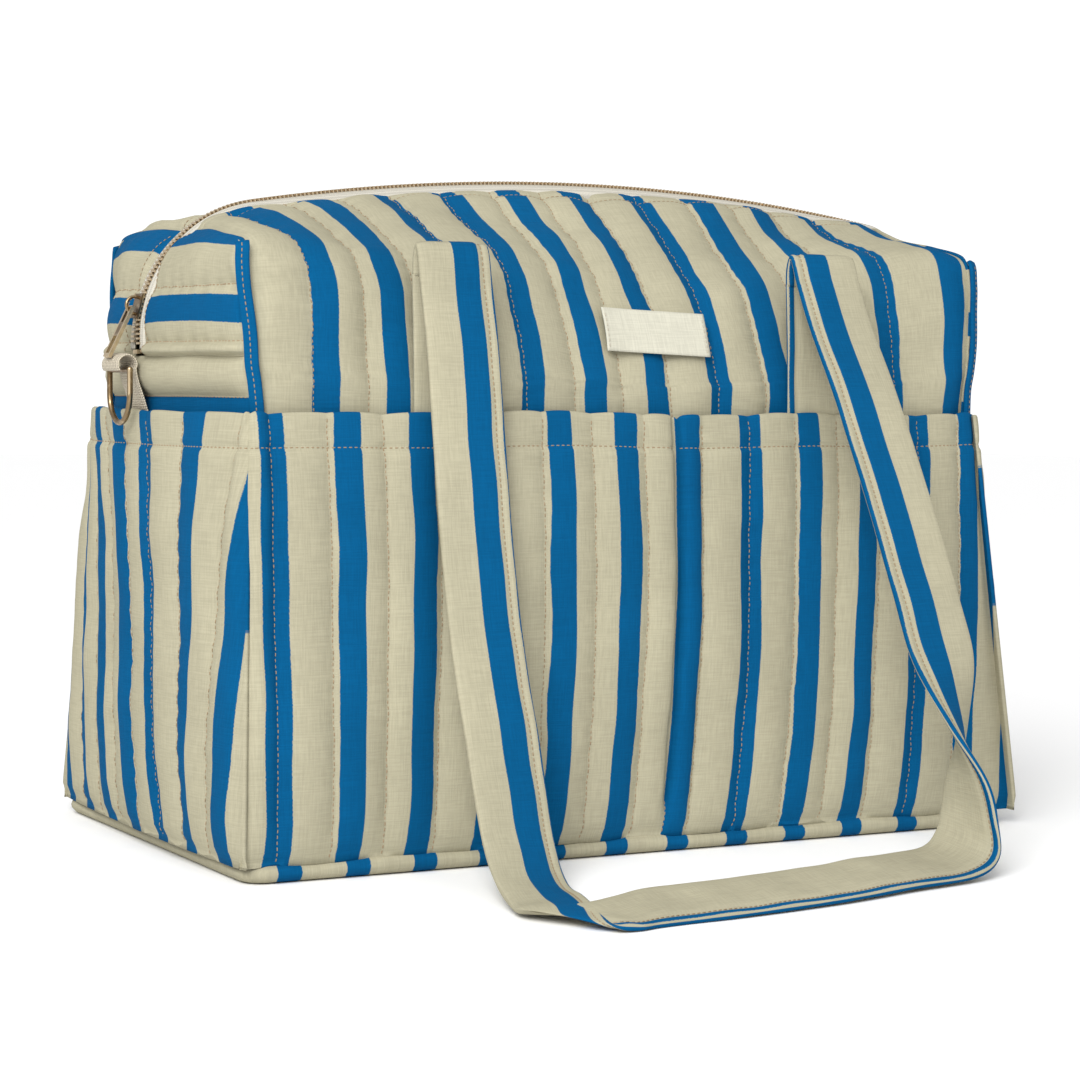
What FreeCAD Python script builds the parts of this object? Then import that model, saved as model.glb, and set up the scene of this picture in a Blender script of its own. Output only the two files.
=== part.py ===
import FreeCAD, Part
import math
import os
import Sketcher

# Quilted zip-top holdall: a soft box of thin quilted panels with outer pockets all round, a zip from low on
# one end, over the crown and down the other end, two long straps and a D-ring at each end.
# Millimetres. The origin is the middle of the base, on the floor; +X is the bag's right, +Y its back, +Z up.

SIZES = [
    ("base_width", 460, "base panel, left to right"),
    ("base_depth", 276, "base panel, front to back"),
    ("base_thick", 8, "quilted base panel"),
    ("base_corner", 16, "radius of the base panel's corners"),
    ("seam_gap", 0.5, "space left where two panels are sewn together"),
    ("quilt", 4.5, "thickness of a quilted panel"),
    ("pocket_top", 228, "height of the pockets' top edge"),
    ("pocket_half", 215, "half the front pocket's width at its top edge"),
    ("pocket_face", 118, "front pocket's outer face from the middle, at its top edge"),
    ("pocket_foot", 137, "front pocket's outer face from the middle, at the base"),
    ("pocket_quilt", 4, "thickness of a pocket panel"),
    ("end_pocket_half", 113, "half the end pocket's depth at its top edge"),
    ("end_pocket_corner", 217, "end pocket's outer face at its corners, top edge"),
    ("end_pocket_face", 236.5, "end pocket's outer face in the middle, top edge"),
    ("end_pocket_foot", 236, "end pocket's outer face at the base"),
    ("wall_half", 206, "half the width of the front and back panels"),
    ("wall_face", 108.5, "front panel's outer face from the middle"),
    ("shoulder_face", 103, "the same at the shoulder, where the panel turns onto the crown"),
    ("shoulder_height", 294, "height of that turn"),
    ("crown_face", 84, "second turn, where the crown's slope starts"),
    ("crown_rise", 19, "height of the second turn above the first"),
    ("zip_edge", 7, "panel edge from the middle of the zip"),
    ("hem", 2, "panel thickness at the zip, where it is turned under"),
    ("end_face", 225, "end panel's outer face in the middle"),
    ("end_corner", 212, "end panel's outer face at its corners"),
    ("end_seam", 251, "height of the seam across each end panel"),
    ("end_top", 312, "top of the end panels at the corners"),
    ("end_bow", 285, "height where the end panels start to lean in to the crown"),
    ("left_peak", 318, "top of the left end panels beside the zip"),
    ("right_peak", 334, "top of the right end panels beside the zip"),
    ("end_flat", 45, "half the flat middle of an end panel"),
    ("pocket_flat", 40, "half the flat middle of an end pocket"),
    ("binding_wide", 5, "width of a corner binding across the end"),
    ("binding_deep", 5.6, "width of a corner binding across the front"),
    ("tape_inner", 3.2, "zip tape's inner edge from the middle"),
    ("tape_outer", 6.6, "zip tape's outer edge from the middle"),
    ("tape", 1, "zip tape's thickness"),
    ("teeth", 2, "width of one row of teeth"),
    ("teeth_thick", 2.4, "thickness of the rows of teeth"),
    ("teeth_inner", 0.9, "inner edge of a row of teeth from the middle"),
    ("zip_foot", 261, "height of the zip's lower ends"),
    ("zip_foot_x", 233.8, "zip's lower ends from the middle"),
    ("left_bend", 76, "radius of the zip's bend at the left end"),
    ("left_bend_x", 157.8, "centre of that bend from the middle"),
    ("left_bend_z", 264.5, "height of that centre"),
    ("right_bend", 26, "radius of the zip's bend at the right end"),
    ("right_bend_x", 216, "centre of that bend from the middle"),
    ("right_bend_z", 313.8, "height of that centre"),
    ("crown_tilt", 9.5, "slope of the zip where its bends meet the crown, degrees"),
    ("slider_wide", 10.5, "zip slider's width"),
    ("slider_long", 13, "zip slider's length"),
    ("slider_plate", 1.2, "thickness of the slider's plates"),
    ("slider_room", 1.8, "slider's plates from the middle of the tape"),
    ("slider_post", 3, "length of the post between the slider's plates"),
    ("slider_turn", 14, "place of the slider up the left bend, degrees above its start"),
    ("bridge", 4.4, "radius of the slider's bridge, to the wire's centre"),
    ("bridge_wire", 0.9, "radius of the bridge's wire"),
    ("bridge_lift", 1, "straight legs of the bridge above the slider's plate"),
    ("pull_hinge", 237.5, "zip puller's hinge from the middle"),
    ("pull_height", 282.7, "height of that hinge"),
    ("pull_bar", 0.9, "radius of the puller's round bar, which turns in the bridge"),
    ("pull_long", 29, "puller from its hinge to its tip"),
    ("pull_wide", 8.5, "puller's width at its loop"),
    ("pull_thick", 1.8, "puller's thickness"),
    ("clip_slot", 1.6, "half the width of the slot in the puller's clip"),
    ("clip_long", 9, "length of that slot"),
    ("pull_rim", 1.8, "width of metal beside the puller's open loop"),
    ("pull_tip", 2, "metal at the tip of the puller"),
    ("loop_start", 17, "puller from its hinge to its open loop"),
    ("pull_lean", 26.5, "puller's lean away from the bag, degrees"),
    ("webbing_wide", 25, "width of the webbing tabs"),
    ("webbing", 1.8, "thickness of the webbing"),
    ("fold_x", 243.5, "centre of the webbing's fold from the middle"),
    ("fold_z", 252.8, "height of that centre"),
    ("fold_radius", 6, "outer radius of the fold"),
    ("ring_bar_z", 250.3, "height of the D-ring's straight bar"),
    ("ring_half", 15.5, "D-ring's side from the middle, to the wire's centre"),
    ("ring_drop", 12, "straight part of the D-ring's sides below the bar"),
    ("ring_wire", 1.5, "radius of the D-ring's wire"),
    ("strap_wide", 40, "width of a strap"),
    ("strap_thick", 4.5, "thickness of a padded strap"),
    ("strap_left", -109, "middle of the strap's left leg"),
    ("strap_right", 114, "middle of the strap's right leg"),
    ("strap_foot", 176, "lower end of the sewn part of a strap"),
    ("fold_height", 314, "height where a strap folds over"),
    ("label_wide", 62, "label's width"),
    ("label_high", 23, "label's height"),
    ("label_thick", 0.8, "label's thickness"),
    ("label_x", 18, "middle of the label"),
    ("label_z", 271, "height of the label's middle"),
    ("lining", 1.2, "thickness of the lining"),
    ("lining_gap", 0.8, "space between the lining and the panels"),
    ("lining_top", 290, "top of the front and back lining"),
]

doc = FreeCAD.newDocument("quilted_holdall")
sizes = doc.addObject("Spreadsheet::Sheet", "sizes")
for row, (alias, number, meaning) in enumerate(SIZES, 1):
    sizes.set(f"A{row}", meaning)
    sizes.set(f"B{row}", str(number))
    sizes.setAlias(f"B{row}", alias)
doc.recompute()
VALUE = {alias: float(sizes.get(alias)) for alias, number, meaning in SIZES}
parts = []


def bind(feature, **properties):
    """Binds properties to expressions, in which a word in braces is a cell of the sheet."""
    for name, text in properties.items():
        feature.setExpression(name.replace("__", "."), linked(text))


def linked(text):
    return text.replace("{", "sizes.").replace("}", "")


def new_body(label):
    body = doc.addObject("PartDesign::Body", label)
    body.Label = label
    parts.append(body)
    return body


def plane_of(body, role):
    return next(item for item in body.Origin.OriginFeatures if item.Role == role)


def outline(body, role, corners, height=None):
    """A closed polygon on one of the body's origin planes, or height above it, from pairs of expressions."""
    sketch = body.newObject("Sketcher::SketchObject", body.Name + "_outline")
    sketch.AttachmentSupport = [(plane_of(body, role), "")]
    sketch.MapMode = "FlatFace"
    if height is not None:
        bind(sketch, AttachmentOffset__Base__z=height)
    count = len(corners)
    start = [
        FreeCAD.Vector(100 * math.cos(math.tau * i / count), 100 * math.sin(math.tau * i / count), 0)
        for i in range(count)
    ]
    for i in range(count):
        sketch.addGeometry(Part.LineSegment(start[i], start[(i + 1) % count]), False)
    for i in range(count):
        sketch.addConstraint(Sketcher.Constraint("Coincident", i, 2, (i + 1) % count, 1))
    for i, corner in enumerate(corners):
        for kind, now, text in zip(("DistanceX", "DistanceY"), start[i], corner):
            index = sketch.addConstraint(Sketcher.Constraint(kind, -1, 1, i, 1, now))
            sketch.setExpression(f"Constraints[{index}]", linked(text))
    return sketch


def pad(label, role, corners, length, middle=True, height=None):
    """A polygon pushed out by length, to both sides of its plane or to one."""
    body = new_body(label)
    sketch = outline(body, role, corners, height)
    block = body.newObject("PartDesign::Pad", label + "_pad")
    block.Profile = sketch
    block.Midplane = middle
    bind(block, Length=length)
    sketch.Visibility = False
    return body


def loft(label, role, sections):
    """A straight-sided solid through polygons. sections are (height above the plane, corners)."""
    body = new_body(label)
    sketches = [outline(body, role, corners, height) for height, corners in sections]
    skin = body.newObject("PartDesign::AdditiveLoft", label + "_loft")
    skin.Profile = sketches[0]
    skin.Sections = sketches[1:]
    skin.Ruled = True
    return body


def box(label, low, high):
    """A block from the expressions of its lowest and highest corners."""
    block = doc.addObject("Part::Box", label)
    block.Label = label
    sides = [f"({b}) - ({a})" for a, b in zip(low, high)]
    bind(block, Length=sides[0], Width=sides[1], Height=sides[2])
    bind(block, Placement__Base__x=low[0], Placement__Base__y=low[1], Placement__Base__z=low[2])
    return block


def keep(feature, label):
    feature.Label = label
    parts.append(feature)
    return feature


# Base: one quilted panel whose edge shows below the pockets.
SQUARE = ((-1, -1), (1, -1), (1, 1), (-1, 1))
base_corners = [(f"{i} * {{base_width}} / 2", f"{j} * {{base_depth}} / 2") for i, j in SQUARE]
base = pad("base_panel", "XY_Plane", base_corners, "{base_thick}", middle=False)
doc.recompute()
uprights = [
    f"Edge{i}"
    for i, edge in enumerate(base.Shape.Edges, 1)
    if abs(edge.Vertexes[0].Z - edge.Vertexes[-1].Z) > VALUE["base_thick"] / 2
]
block = base.Tip
rounding = base.newObject("PartDesign::Fillet", "base_rounding")
rounding.Base = (block, uprights)
bind(rounding, Radius="{base_corner}")

# Zip line, in the plane y = 0: up each end, round a bend, and over the crown as one shallow arc.
tilt = math.radians(VALUE["crown_tilt"])


def bend_points(side, inset, steps):
    """Points of a bend from its foot to where it meets the crown, inset from the zip line towards the bag."""
    name = "left_bend" if side < 0 else "right_bend"
    radius = VALUE[name] - inset
    centre_x = side * VALUE[name + "_x"]
    centre_z = VALUE[name + "_z"]
    foot = [(side * (VALUE["zip_foot_x"] - inset), VALUE["zip_foot"])]
    turn = [math.pi / 2 * i / steps - tilt * i / steps for i in range(steps + 1)]
    return foot + [(centre_x + side * radius * math.cos(a), centre_z + radius * math.sin(a)) for a in turn]


def zip_line(inset, steps):
    """Points of the whole zip line from the left foot to the right foot."""
    left = bend_points(-1, inset, steps)
    right = bend_points(1, inset, steps)
    (x0, z0), (x1, z1) = left[-1], right[-1]
    span = x1 - x0
    rise = span / 2 * math.tan(tilt / 2)
    crown = []
    for i in range(1, steps):
        share = i / steps
        crown.append((x0 + span * share, z0 + (z1 - z0) * share + 4 * rise * share * (1 - share)))
    return left + crown + right[::-1]


def zip_height(x):
    """Height of the zip line above a point of the base's middle line."""
    line = zip_line(0, 24)
    for (x0, z0), (x1, z1) in zip(line, line[1:]):
        if x0 <= x <= x1 and x1 > x0:
            return z0 + (z1 - z0) * (x - x0) / (x1 - x0)
    return VALUE["zip_foot"]


def zip_reach(side, height):
    """Distance of the zip line from the bag's middle, at a height on one end."""
    line = bend_points(side, 0, 24)
    for (x0, z0), (x1, z1) in zip(line, line[1:]):
        if z0 <= height <= z1:
            return abs(x0 + (x1 - x0) * (height - z0) / (z1 - z0))
    return abs(line[0][0])


def zip_band(label, low, high, near, far, steps=10):
    """A strip that follows the zip line, between two distances across it and two depths below it."""
    outer = [FreeCAD.Vector(x, 0, z) for x, z in zip_line(low, steps)]
    inner = [FreeCAD.Vector(x, 0, z) for x, z in zip_line(high, steps)]
    ring = outer + inner[::-1]
    face = Part.Face(Part.makePolygon(ring + ring[:1]))
    strip = doc.addObject("Part::Feature", label)
    strip.Shape = face.extrude(FreeCAD.Vector(0, far - near, 0))
    strip.Placement = FreeCAD.Placement(FreeCAD.Vector(0, near, 0), FreeCAD.Rotation())
    return strip


# Front and back panels: up the wall, over the shoulder and along the crown to the zip. The zip droops at the
# left, so each panel is drawn through stations along the bag, closer together towards its ends.
EDGE_RISE = 1.2     # panel edges above the middle of the zip
CROWN_DROP = 6      # least drop from a panel's edge at the zip to its second turn
WALL_BEND = 10      # start of the wall's lean to the shoulder, above the pockets' top edge
STATION_X = (-VALUE["wall_half"], -188, -140, -60, 30, 110, 170, VALUE["wall_half"])
for label, side in (("front_panel", -1), ("back_panel", 1)):
    sections = []
    for x in STATION_X:
        top = f"{zip_height(x) + EDGE_RISE:.3f}"
        low = f"min({{shoulder_height}} + {{crown_rise}}; {top} - {CROWN_DROP})"
        bend = f"{{pocket_top}} + {WALL_BEND}"
        outer = [
            ("{wall_face}", "{base_thick} + {seam_gap}"),
            ("{wall_face}", bend),
            ("{shoulder_face}", "{shoulder_height}"),
            ("{crown_face}", low),
            ("{zip_edge}", top),
        ]
        inner = [
            ("{zip_edge}", f"{top} - {{hem}}"),
            ("{crown_face} - {quilt} * 0.5", f"{low} - {{quilt}}"),
            ("{shoulder_face} - {quilt}", "{shoulder_height} - {quilt} * 0.5"),
            ("{wall_face} - {quilt}", bend),
            ("{wall_face} - {quilt}", "{base_thick} + {seam_gap}"),
        ]
        sections.append((str(x), [(f"{side} * ({y})", z) for y, z in outer + inner]))
    loft(label, "YZ_Plane", sections)

# End panels: a lower piece behind the pocket, and above its seam one piece each side of the zip.
CORNER_ROOM = 5     # end panels stop this far short of the front and back faces
BELLY = 0.6         # the upper end panels bulge most at this share of their reach
TOP_REACH = 88      # reach of the upper end panels at their top corners
LEFT_REACH = 55     # and at the height where they meet the zip
RIGHT_REACH = 33
for end, side in (("left", -1), ("right", 1)):
    rim = [
        ("{end_corner}", f"{CORNER_ROOM} - {{wall_face}}"),
        ("{end_face}", "-{end_flat}"),
        ("{end_face}", "{end_flat}"),
        ("{end_corner}", f"{{wall_face}} - {CORNER_ROOM}"),
    ]
    plan = [(f"{side} * ({x})", y) for x, y in rim]
    plan += [(f"{side} * ({x} - {{quilt}})", y) for x, y in rim[::-1]]
    lower = pad(
        f"{end}_end_lower",
        "XY_Plane",
        plan,
        "{end_seam} - {base_thick} - 2 * {seam_gap}",
        middle=False,
        height="{base_thick} + {seam_gap}",
    )
    wide = VALUE["wall_face"] - CORNER_ROOM
    levels = [("end_seam", wide), ("end_bow", wide), ("end_top", TOP_REACH)]
    levels.append(("left_peak", LEFT_REACH) if side < 0 else ("right_peak", RIGHT_REACH))
    for half, way in (("front", -1), ("back", 1)):
        sections = []
        for level, reach in levels:
            face = f"{zip_reach(side, VALUE[level]) + EDGE_RISE:.3f}"
            belly = f"({face} + {{end_corner}}) / 2"
            outer = [(face, "{zip_edge}"), (f"({belly})", f"{reach * BELLY}"), ("{end_corner}", f"{reach}")]
            inner = [(f"({face} - {{hem}})", "{zip_edge}"), (f"({belly} - {{quilt}})", f"{reach * BELLY}")]
            inner += [("({end_corner} - {quilt})", f"{reach}")]
            ring = [(f"{side} * {x}", f"{way} * ({y})") for x, y in outer + inner[::-1]]
            sections.append((f"{{{level}}}", ring))
        loft(f"{end}_end_upper_{half}", "XY_Plane", sections)

# Corner bindings: a strip of binding up each corner seam, from the base to the shoulder.
for end, side in (("left", -1), ("right", 1)):
    for half, way in (("front", -1), ("back", 1)):
        span_x = ["{wall_half} + {seam_gap}", "{wall_half} + {seam_gap} + {binding_wide}"]
        span_y = ["{wall_face} + 1 - {binding_deep}", "{wall_face} + 1"]
        corners = [(span_x[i], span_y[j]) for i, j in ((0, 0), (1, 0), (1, 1), (0, 1))]
        pad(
            f"{half}_{end}_binding",
            "XY_Plane",
            [(f"{side} * ({x})", f"{way} * ({y})") for x, y in corners],
            "{shoulder_height} + 2 - {base_thick}",
            middle=False,
            height="{base_thick} + {seam_gap}",
        )

# Pockets: a hemmed quilted panel on each side, sewn to the base all along and open at the top. The front and
# back ones are stitched through once, which makes two pockets of each. The end ones bulge in the middle.
for label, side in (("front_pocket", -1), ("back_pocket", 1)):
    levels = [
        ("{base_thick} + {seam_gap}", "{base_width} / 2 - 2", "{pocket_foot}"),
        ("{pocket_top}", "{pocket_half}", "{pocket_face}"),
    ]
    sections = []
    for level, half, face in levels:
        back = f"{face} - {{pocket_quilt}}"
        ring = [(-1, face), (1, face), (1, back), (-1, back)]
        sections.append((level, [(f"{i} * ({half})", f"{side} * ({y})") for i, y in ring]))
    loft(label, "XY_Plane", sections)
for label, side in (("left_pocket", -1), ("right_pocket", 1)):
    foot_half = "{pocket_foot} - {pocket_quilt} - 1"
    levels = [
        ("{base_thick} + {seam_gap}", "{end_pocket_foot}", "{end_pocket_foot} - 7", foot_half),
        ("{pocket_top}", "{end_pocket_face}", "{end_pocket_corner}", "{end_pocket_half}"),
    ]
    sections = []
    for level, middle, corner, half in levels:
        rim = [(corner, f"-({half})"), (middle, "-{pocket_flat}"), (middle, "{pocket_flat}"), (corner, half)]
        ring = rim + [(f"{x} - {{pocket_quilt}}", y) for x, y in rim[::-1]]
        sections.append((level, [(f"{side} * ({x})", y) for x, y in ring]))
    loft(label, "XY_Plane", sections)

# Zip: a tape and a row of teeth each side, and a stop at each lower end.
STEPS = 16
teeth_outer = VALUE["teeth_inner"] + VALUE["teeth"]
ZIP_STRIPS = (
    ("zip_tape", VALUE["tape"] / 2, VALUE["tape_inner"], VALUE["tape_outer"]),
    ("zip_teeth", VALUE["teeth_thick"] / 2, VALUE["teeth_inner"], teeth_outer),
)
for way, side in (("front", -1), ("back", 1)):
    for name, half, near, far in ZIP_STRIPS:
        low, high = sorted((side * near, side * far))
        keep(zip_band(f"{name}_{way}", -half, half, low, high, STEPS), f"{name}_{way}")
stops = []
for side in (-1, 1):
    middle = f"{side} * {{zip_foot_x}}"
    low = [f"{middle} - 1.4", "-3", "{zip_foot} - 2.4"]
    high = [f"{middle} + 1.4", "3", "{zip_foot} - 0.3"]
    stops.append(box("stop", low, high))
stop_pair = doc.addObject("Part::MultiFuse", "zip_stops")
stop_pair.Shapes = stops
keep(stop_pair, "zip_stops")

# Slider: two plates with a post between them at its nose, and a bridge of round wire for the puller. It is
# drawn lying along Z with its outside towards +X, then turned on to the left bend.
plates = []
outside = ("{slider_room}", "{slider_room} + {slider_plate}")
inside = ("-{slider_room} - {slider_plate}", "-{slider_room}")
for near, far in (outside, inside):
    low = [near, "-{slider_wide} / 2", "-{slider_long} / 2"]
    high = [far, "{slider_wide} / 2", "{slider_long} / 2"]
    plates.append(box("plate", low, high))
post_low = ["-{slider_room} - 0.2", "-0.5", "{slider_long} / 2 - {slider_post}"]
post_high = ["{slider_room} + 0.2", "0.5", "{slider_long} / 2"]
plates.append(box("post", post_low, post_high))
arch = doc.addObject("Part::Torus", "arch")
bind(arch, Radius1="{bridge}", Radius2="{bridge_wire}", Angle3="180")
arch_x = VALUE["slider_room"] + VALUE["slider_plate"] + VALUE["bridge_lift"]
arch_turn = FreeCAD.Rotation(FreeCAD.Vector(0, 0, -1), FreeCAD.Vector(1, 0, 0), FreeCAD.Vector(0, -1, 0))
arch.Placement = FreeCAD.Placement(FreeCAD.Vector(arch_x, 0, 0), arch_turn)
legs = []
for way in (-1, 1):
    leg = doc.addObject("Part::Cylinder", "leg")
    bind(leg, Radius="{bridge_wire}", Height="{bridge_lift} + 0.4")
    leg.Placement = FreeCAD.Placement(
        FreeCAD.Vector(arch_x - VALUE["bridge_lift"] - 0.4, 0, way * VALUE["bridge"]),
        FreeCAD.Rotation(FreeCAD.Vector(0, 1, 0), 90),
    )
    legs.append(leg)
slider = doc.addObject("Part::MultiFuse", "zip_slider")
slider.Shapes = plates + [arch] + legs
turn = VALUE["slider_turn"]
reach = VALUE["left_bend"]
slider.Placement = FreeCAD.Placement(
    FreeCAD.Vector(
        -VALUE["left_bend_x"] - reach * math.cos(math.radians(turn)),
        0,
        VALUE["left_bend_z"] + reach * math.sin(math.radians(turn)),
    ),
    FreeCAD.Rotation(FreeCAD.Vector(0, 1, 0), turn + 180),
)
keep(slider, "zip_slider")

# Puller: a round bar in the bridge, a narrow clip, a solid middle and an open loop. It is drawn hanging down.
plate_low = ["-{pull_thick} / 2", "-{pull_wide} / 2", "-{pull_long}"]
plate_high = ["{pull_thick} / 2", "{pull_wide} / 2", "0"]
clip_low = ["-{pull_thick}", "-{clip_slot}", "-{clip_long}"]
clip_high = ["{pull_thick}", "{clip_slot}", "0.1"]
loop_low = ["-{pull_thick}", "{pull_rim} - {pull_wide} / 2", "{pull_tip} - {pull_long}"]
loop_high = ["{pull_thick}", "{pull_wide} / 2 - {pull_rim}", "-{loop_start}"]
holes = doc.addObject("Part::MultiFuse", "pull_windows")
holes.Shapes = [box("pull_clip", clip_low, clip_high), box("pull_loop", loop_low, loop_high)]
pull_frame = doc.addObject("Part::Cut", "pull_frame")
pull_frame.Base = box("pull_plate", plate_low, plate_high)
pull_frame.Tool = holes
bar = doc.addObject("Part::Cylinder", "pull_bar")
bind(bar, Radius="{pull_bar}", Height="{pull_wide}")
bar.Placement = FreeCAD.Placement(
    FreeCAD.Vector(0, VALUE["pull_wide"] / 2, 0), FreeCAD.Rotation(FreeCAD.Vector(1, 0, 0), 90)
)
puller = doc.addObject("Part::MultiFuse", "zip_puller")
puller.Shapes = [pull_frame, bar]
puller.Placement = FreeCAD.Placement(
    FreeCAD.Vector(-VALUE["pull_hinge"], 0, VALUE["pull_height"]),
    FreeCAD.Rotation(FreeCAD.Vector(0, 1, 0), VALUE["pull_lean"]),
)
keep(puller, "zip_puller")

# Webbing tabs and D-rings: a tab rises from behind each end pocket and folds outwards over the ring's bar.
STEM_FOOT = 200     # height of the stem's sewn foot
STEM_BEND = 236     # height where the stem leaves the bag for the fold
STEM_THICK = 3      # two layers of webbing
for end, side in (("left", -1), ("right", 1)):
    half = VALUE["webbing_wide"] / 2
    fold_x = VALUE["fold_x"]
    fold_z = VALUE["fold_z"]
    stem_x = VALUE["end_face"] + 2.6
    outer = VALUE["fold_radius"]
    inner = outer - VALUE["webbing"]
    stem = [
        (stem_x + STEM_THICK, STEM_FOOT),
        (stem_x, STEM_FOOT),
        (stem_x, STEM_BEND + 0.4),
        (fold_x - outer + 0.1, fold_z - 1),
        (fold_x - inner * 0.8, fold_z - inner * 0.61),
        (stem_x + STEM_THICK, STEM_BEND - 0.4),
    ]
    profile = [FreeCAD.Vector(side * x, -half, z) for x, z in stem]
    strip = Part.Face(Part.makePolygon(profile + profile[:1])).extrude(FreeCAD.Vector(0, 2 * half, 0))
    middle = FreeCAD.Vector(side * fold_x, -half, fold_z)
    tube = Part.makeCylinder(outer, 2 * half, middle, FreeCAD.Vector(0, 1, 0))
    hollow = Part.makeCylinder(inner, 2 * half, middle, FreeCAD.Vector(0, 1, 0))
    tab = doc.addObject("Part::Feature", f"{end}_tab")
    tab.Shape = strip.fuse(tube).cut(hollow).removeSplitter()
    keep(tab, f"{end}_tab")

    centre = FreeCAD.Vector(side * fold_x, 0, VALUE["ring_bar_z"])
    reach = VALUE["ring_half"]
    drop = VALUE["ring_drop"]
    wire = VALUE["ring_wire"]
    corners = [FreeCAD.Vector(0, -reach, 0), FreeCAD.Vector(0, reach, 0)]
    pieces = [Part.makeCylinder(wire, 2 * reach, corners[0], FreeCAD.Vector(0, 1, 0))]
    for corner in corners:
        pieces.append(Part.makeCylinder(wire, drop, corner, FreeCAD.Vector(0, 0, -1)))
        pieces.append(Part.makeSphere(wire, corner))
    bow = Part.makeTorus(reach, wire, FreeCAD.Vector(0, 0, 0), FreeCAD.Vector(1, 0, 0), 0, 360, 180)
    bow.rotate(FreeCAD.Vector(0, 0, 0), FreeCAD.Vector(1, 0, 0), 90)
    bow.translate(FreeCAD.Vector(0, 0, -drop))
    d_ring = doc.addObject("Part::Feature", f"{end}_d_ring")
    d_ring.Shape = pieces[0].multiFuse(pieces[1:] + [bow]).removeSplitter()
    d_ring.Placement = FreeCAD.Placement(centre, FreeCAD.Rotation())
    keep(d_ring, f"{end}_d_ring")

# Straps: each end is sewn up the panel to the shoulder, where the strap folds over and hangs down in front as
# one long loop whose middle lies on the floor. A row gives the strap's middle and the direction of its width.
LOOP = [
    ((-109, -121.6, 311), (1, 0, 0)),
    ((-106, -131, 215), (1, 0, 0)),
    ((-105, -153, 118), (1, 0, 0)),
    ((-105, -172, 60), (1, 0, 0)),
    ((-107, -198, 22), (1, 0.1, 0)),
    ((-116, -232, 6), (1, 0.2, 0)),
    ((-121, -262, 4), (1, 0.1, 0)),
    ((-114, -280, 4), (0.75, 0.66, 0.05)),
    ((-98, -287, 5), (0.15, 1, 0.1)),
    ((-20, -284, 6), (0, 1, 0.15)),
    ((60, -268, 6), (-0.25, 1, 0.15)),
    ((90, -258, 11), (-0.6, 0.8, 0.1)),
    ((104, -252, 24), (-0.95, 0.3, 0)),
    ((110, -243, 50), (-1, 0, 0)),
    ((114, -195, 184), (-1, 0, 0)),
    ((114, -168, 240), (-1, 0, 0)),
    ((114, -121.6, 311), (-1, 0, 0)),
]


def loop_frames(side):
    """Middle, width direction and face direction at each row of LOOP, mirrored to the back for side 1."""
    middles = [FreeCAD.Vector(x, -side * y, z) for (x, y, z), wide in LOOP]
    frames = []
    for i, (place, wide) in enumerate(LOOP):
        ahead = middles[min(i + 1, len(LOOP) - 1)] - middles[max(i - 1, 0)]
        across = FreeCAD.Vector(wide[0], -side * wide[1], wide[2])
        across = (across - ahead * (across.dot(ahead) / ahead.dot(ahead))).normalize()
        frames.append((middles[i], across, ahead.cross(across).normalize()))
    return frames


def section(middle, across, face):
    half_wide = VALUE["strap_wide"] / 2
    half_thick = VALUE["strap_thick"] / 2
    ring = [middle + across * half_wide * i + face * half_thick * j for i, j in SQUARE]
    return Part.makePolygon(ring + ring[:1])


for label, side in (("front", -1), ("back", 1)):
    wires = [section(*frame) for frame in loop_frames(side)]
    runs = [Part.makeLoft([a, b], True, True) for a, b in zip(wires, wires[1:])]
    loop = doc.addObject("Part::Feature", f"{label}_strap_loop")
    loop.Shape = runs[0].multiFuse(runs[1:])
    keep(loop, f"{label}_strap_loop")
    for name, middle in (("left", "{strap_left}"), ("right", "{strap_right}")):
        if side < 0:
            low, high = "-({wall_face} + 0.3 + {strap_thick})", "-({wall_face} + 0.3)"
        else:
            low, high = "{wall_face} + 0.3", "{wall_face} + 0.3 + {strap_thick}"
        anchor = box(
            f"{label}_strap_{name}_end",
            [f"{middle} - {{strap_wide}} / 2", low, "{strap_foot}"],
            [f"{middle} + {{strap_wide}} / 2", high, "{fold_height} - 1"],
        )
        keep(anchor, f"{label}_strap_{name}_end")

# Label: a blank strip of cotton sewn to the front panel, leaning with it.
bend_z = VALUE["pocket_top"] + WALL_BEND
lean = math.atan2(VALUE["wall_face"] - VALUE["shoulder_face"], VALUE["shoulder_height"] - bend_z)
cotton_label = doc.addObject("Part::Box", "label")
bind(cotton_label, Length="{label_wide}", Width="{label_thick}", Height="{label_high}")
face_y = VALUE["wall_face"] - math.tan(lean) * (VALUE["label_z"] - bend_z)
turned = FreeCAD.Rotation(FreeCAD.Vector(1, 0, 0), -math.degrees(lean))
from_middle = FreeCAD.Vector(-VALUE["label_wide"] / 2, -VALUE["label_thick"] - 0.3, -VALUE["label_high"] / 2)
label_middle = FreeCAD.Vector(VALUE["label_x"], -face_y, VALUE["label_z"])
cotton_label.Placement = FreeCAD.Placement(label_middle + turned.multVec(from_middle), turned)
keep(cotton_label, "label")

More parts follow.
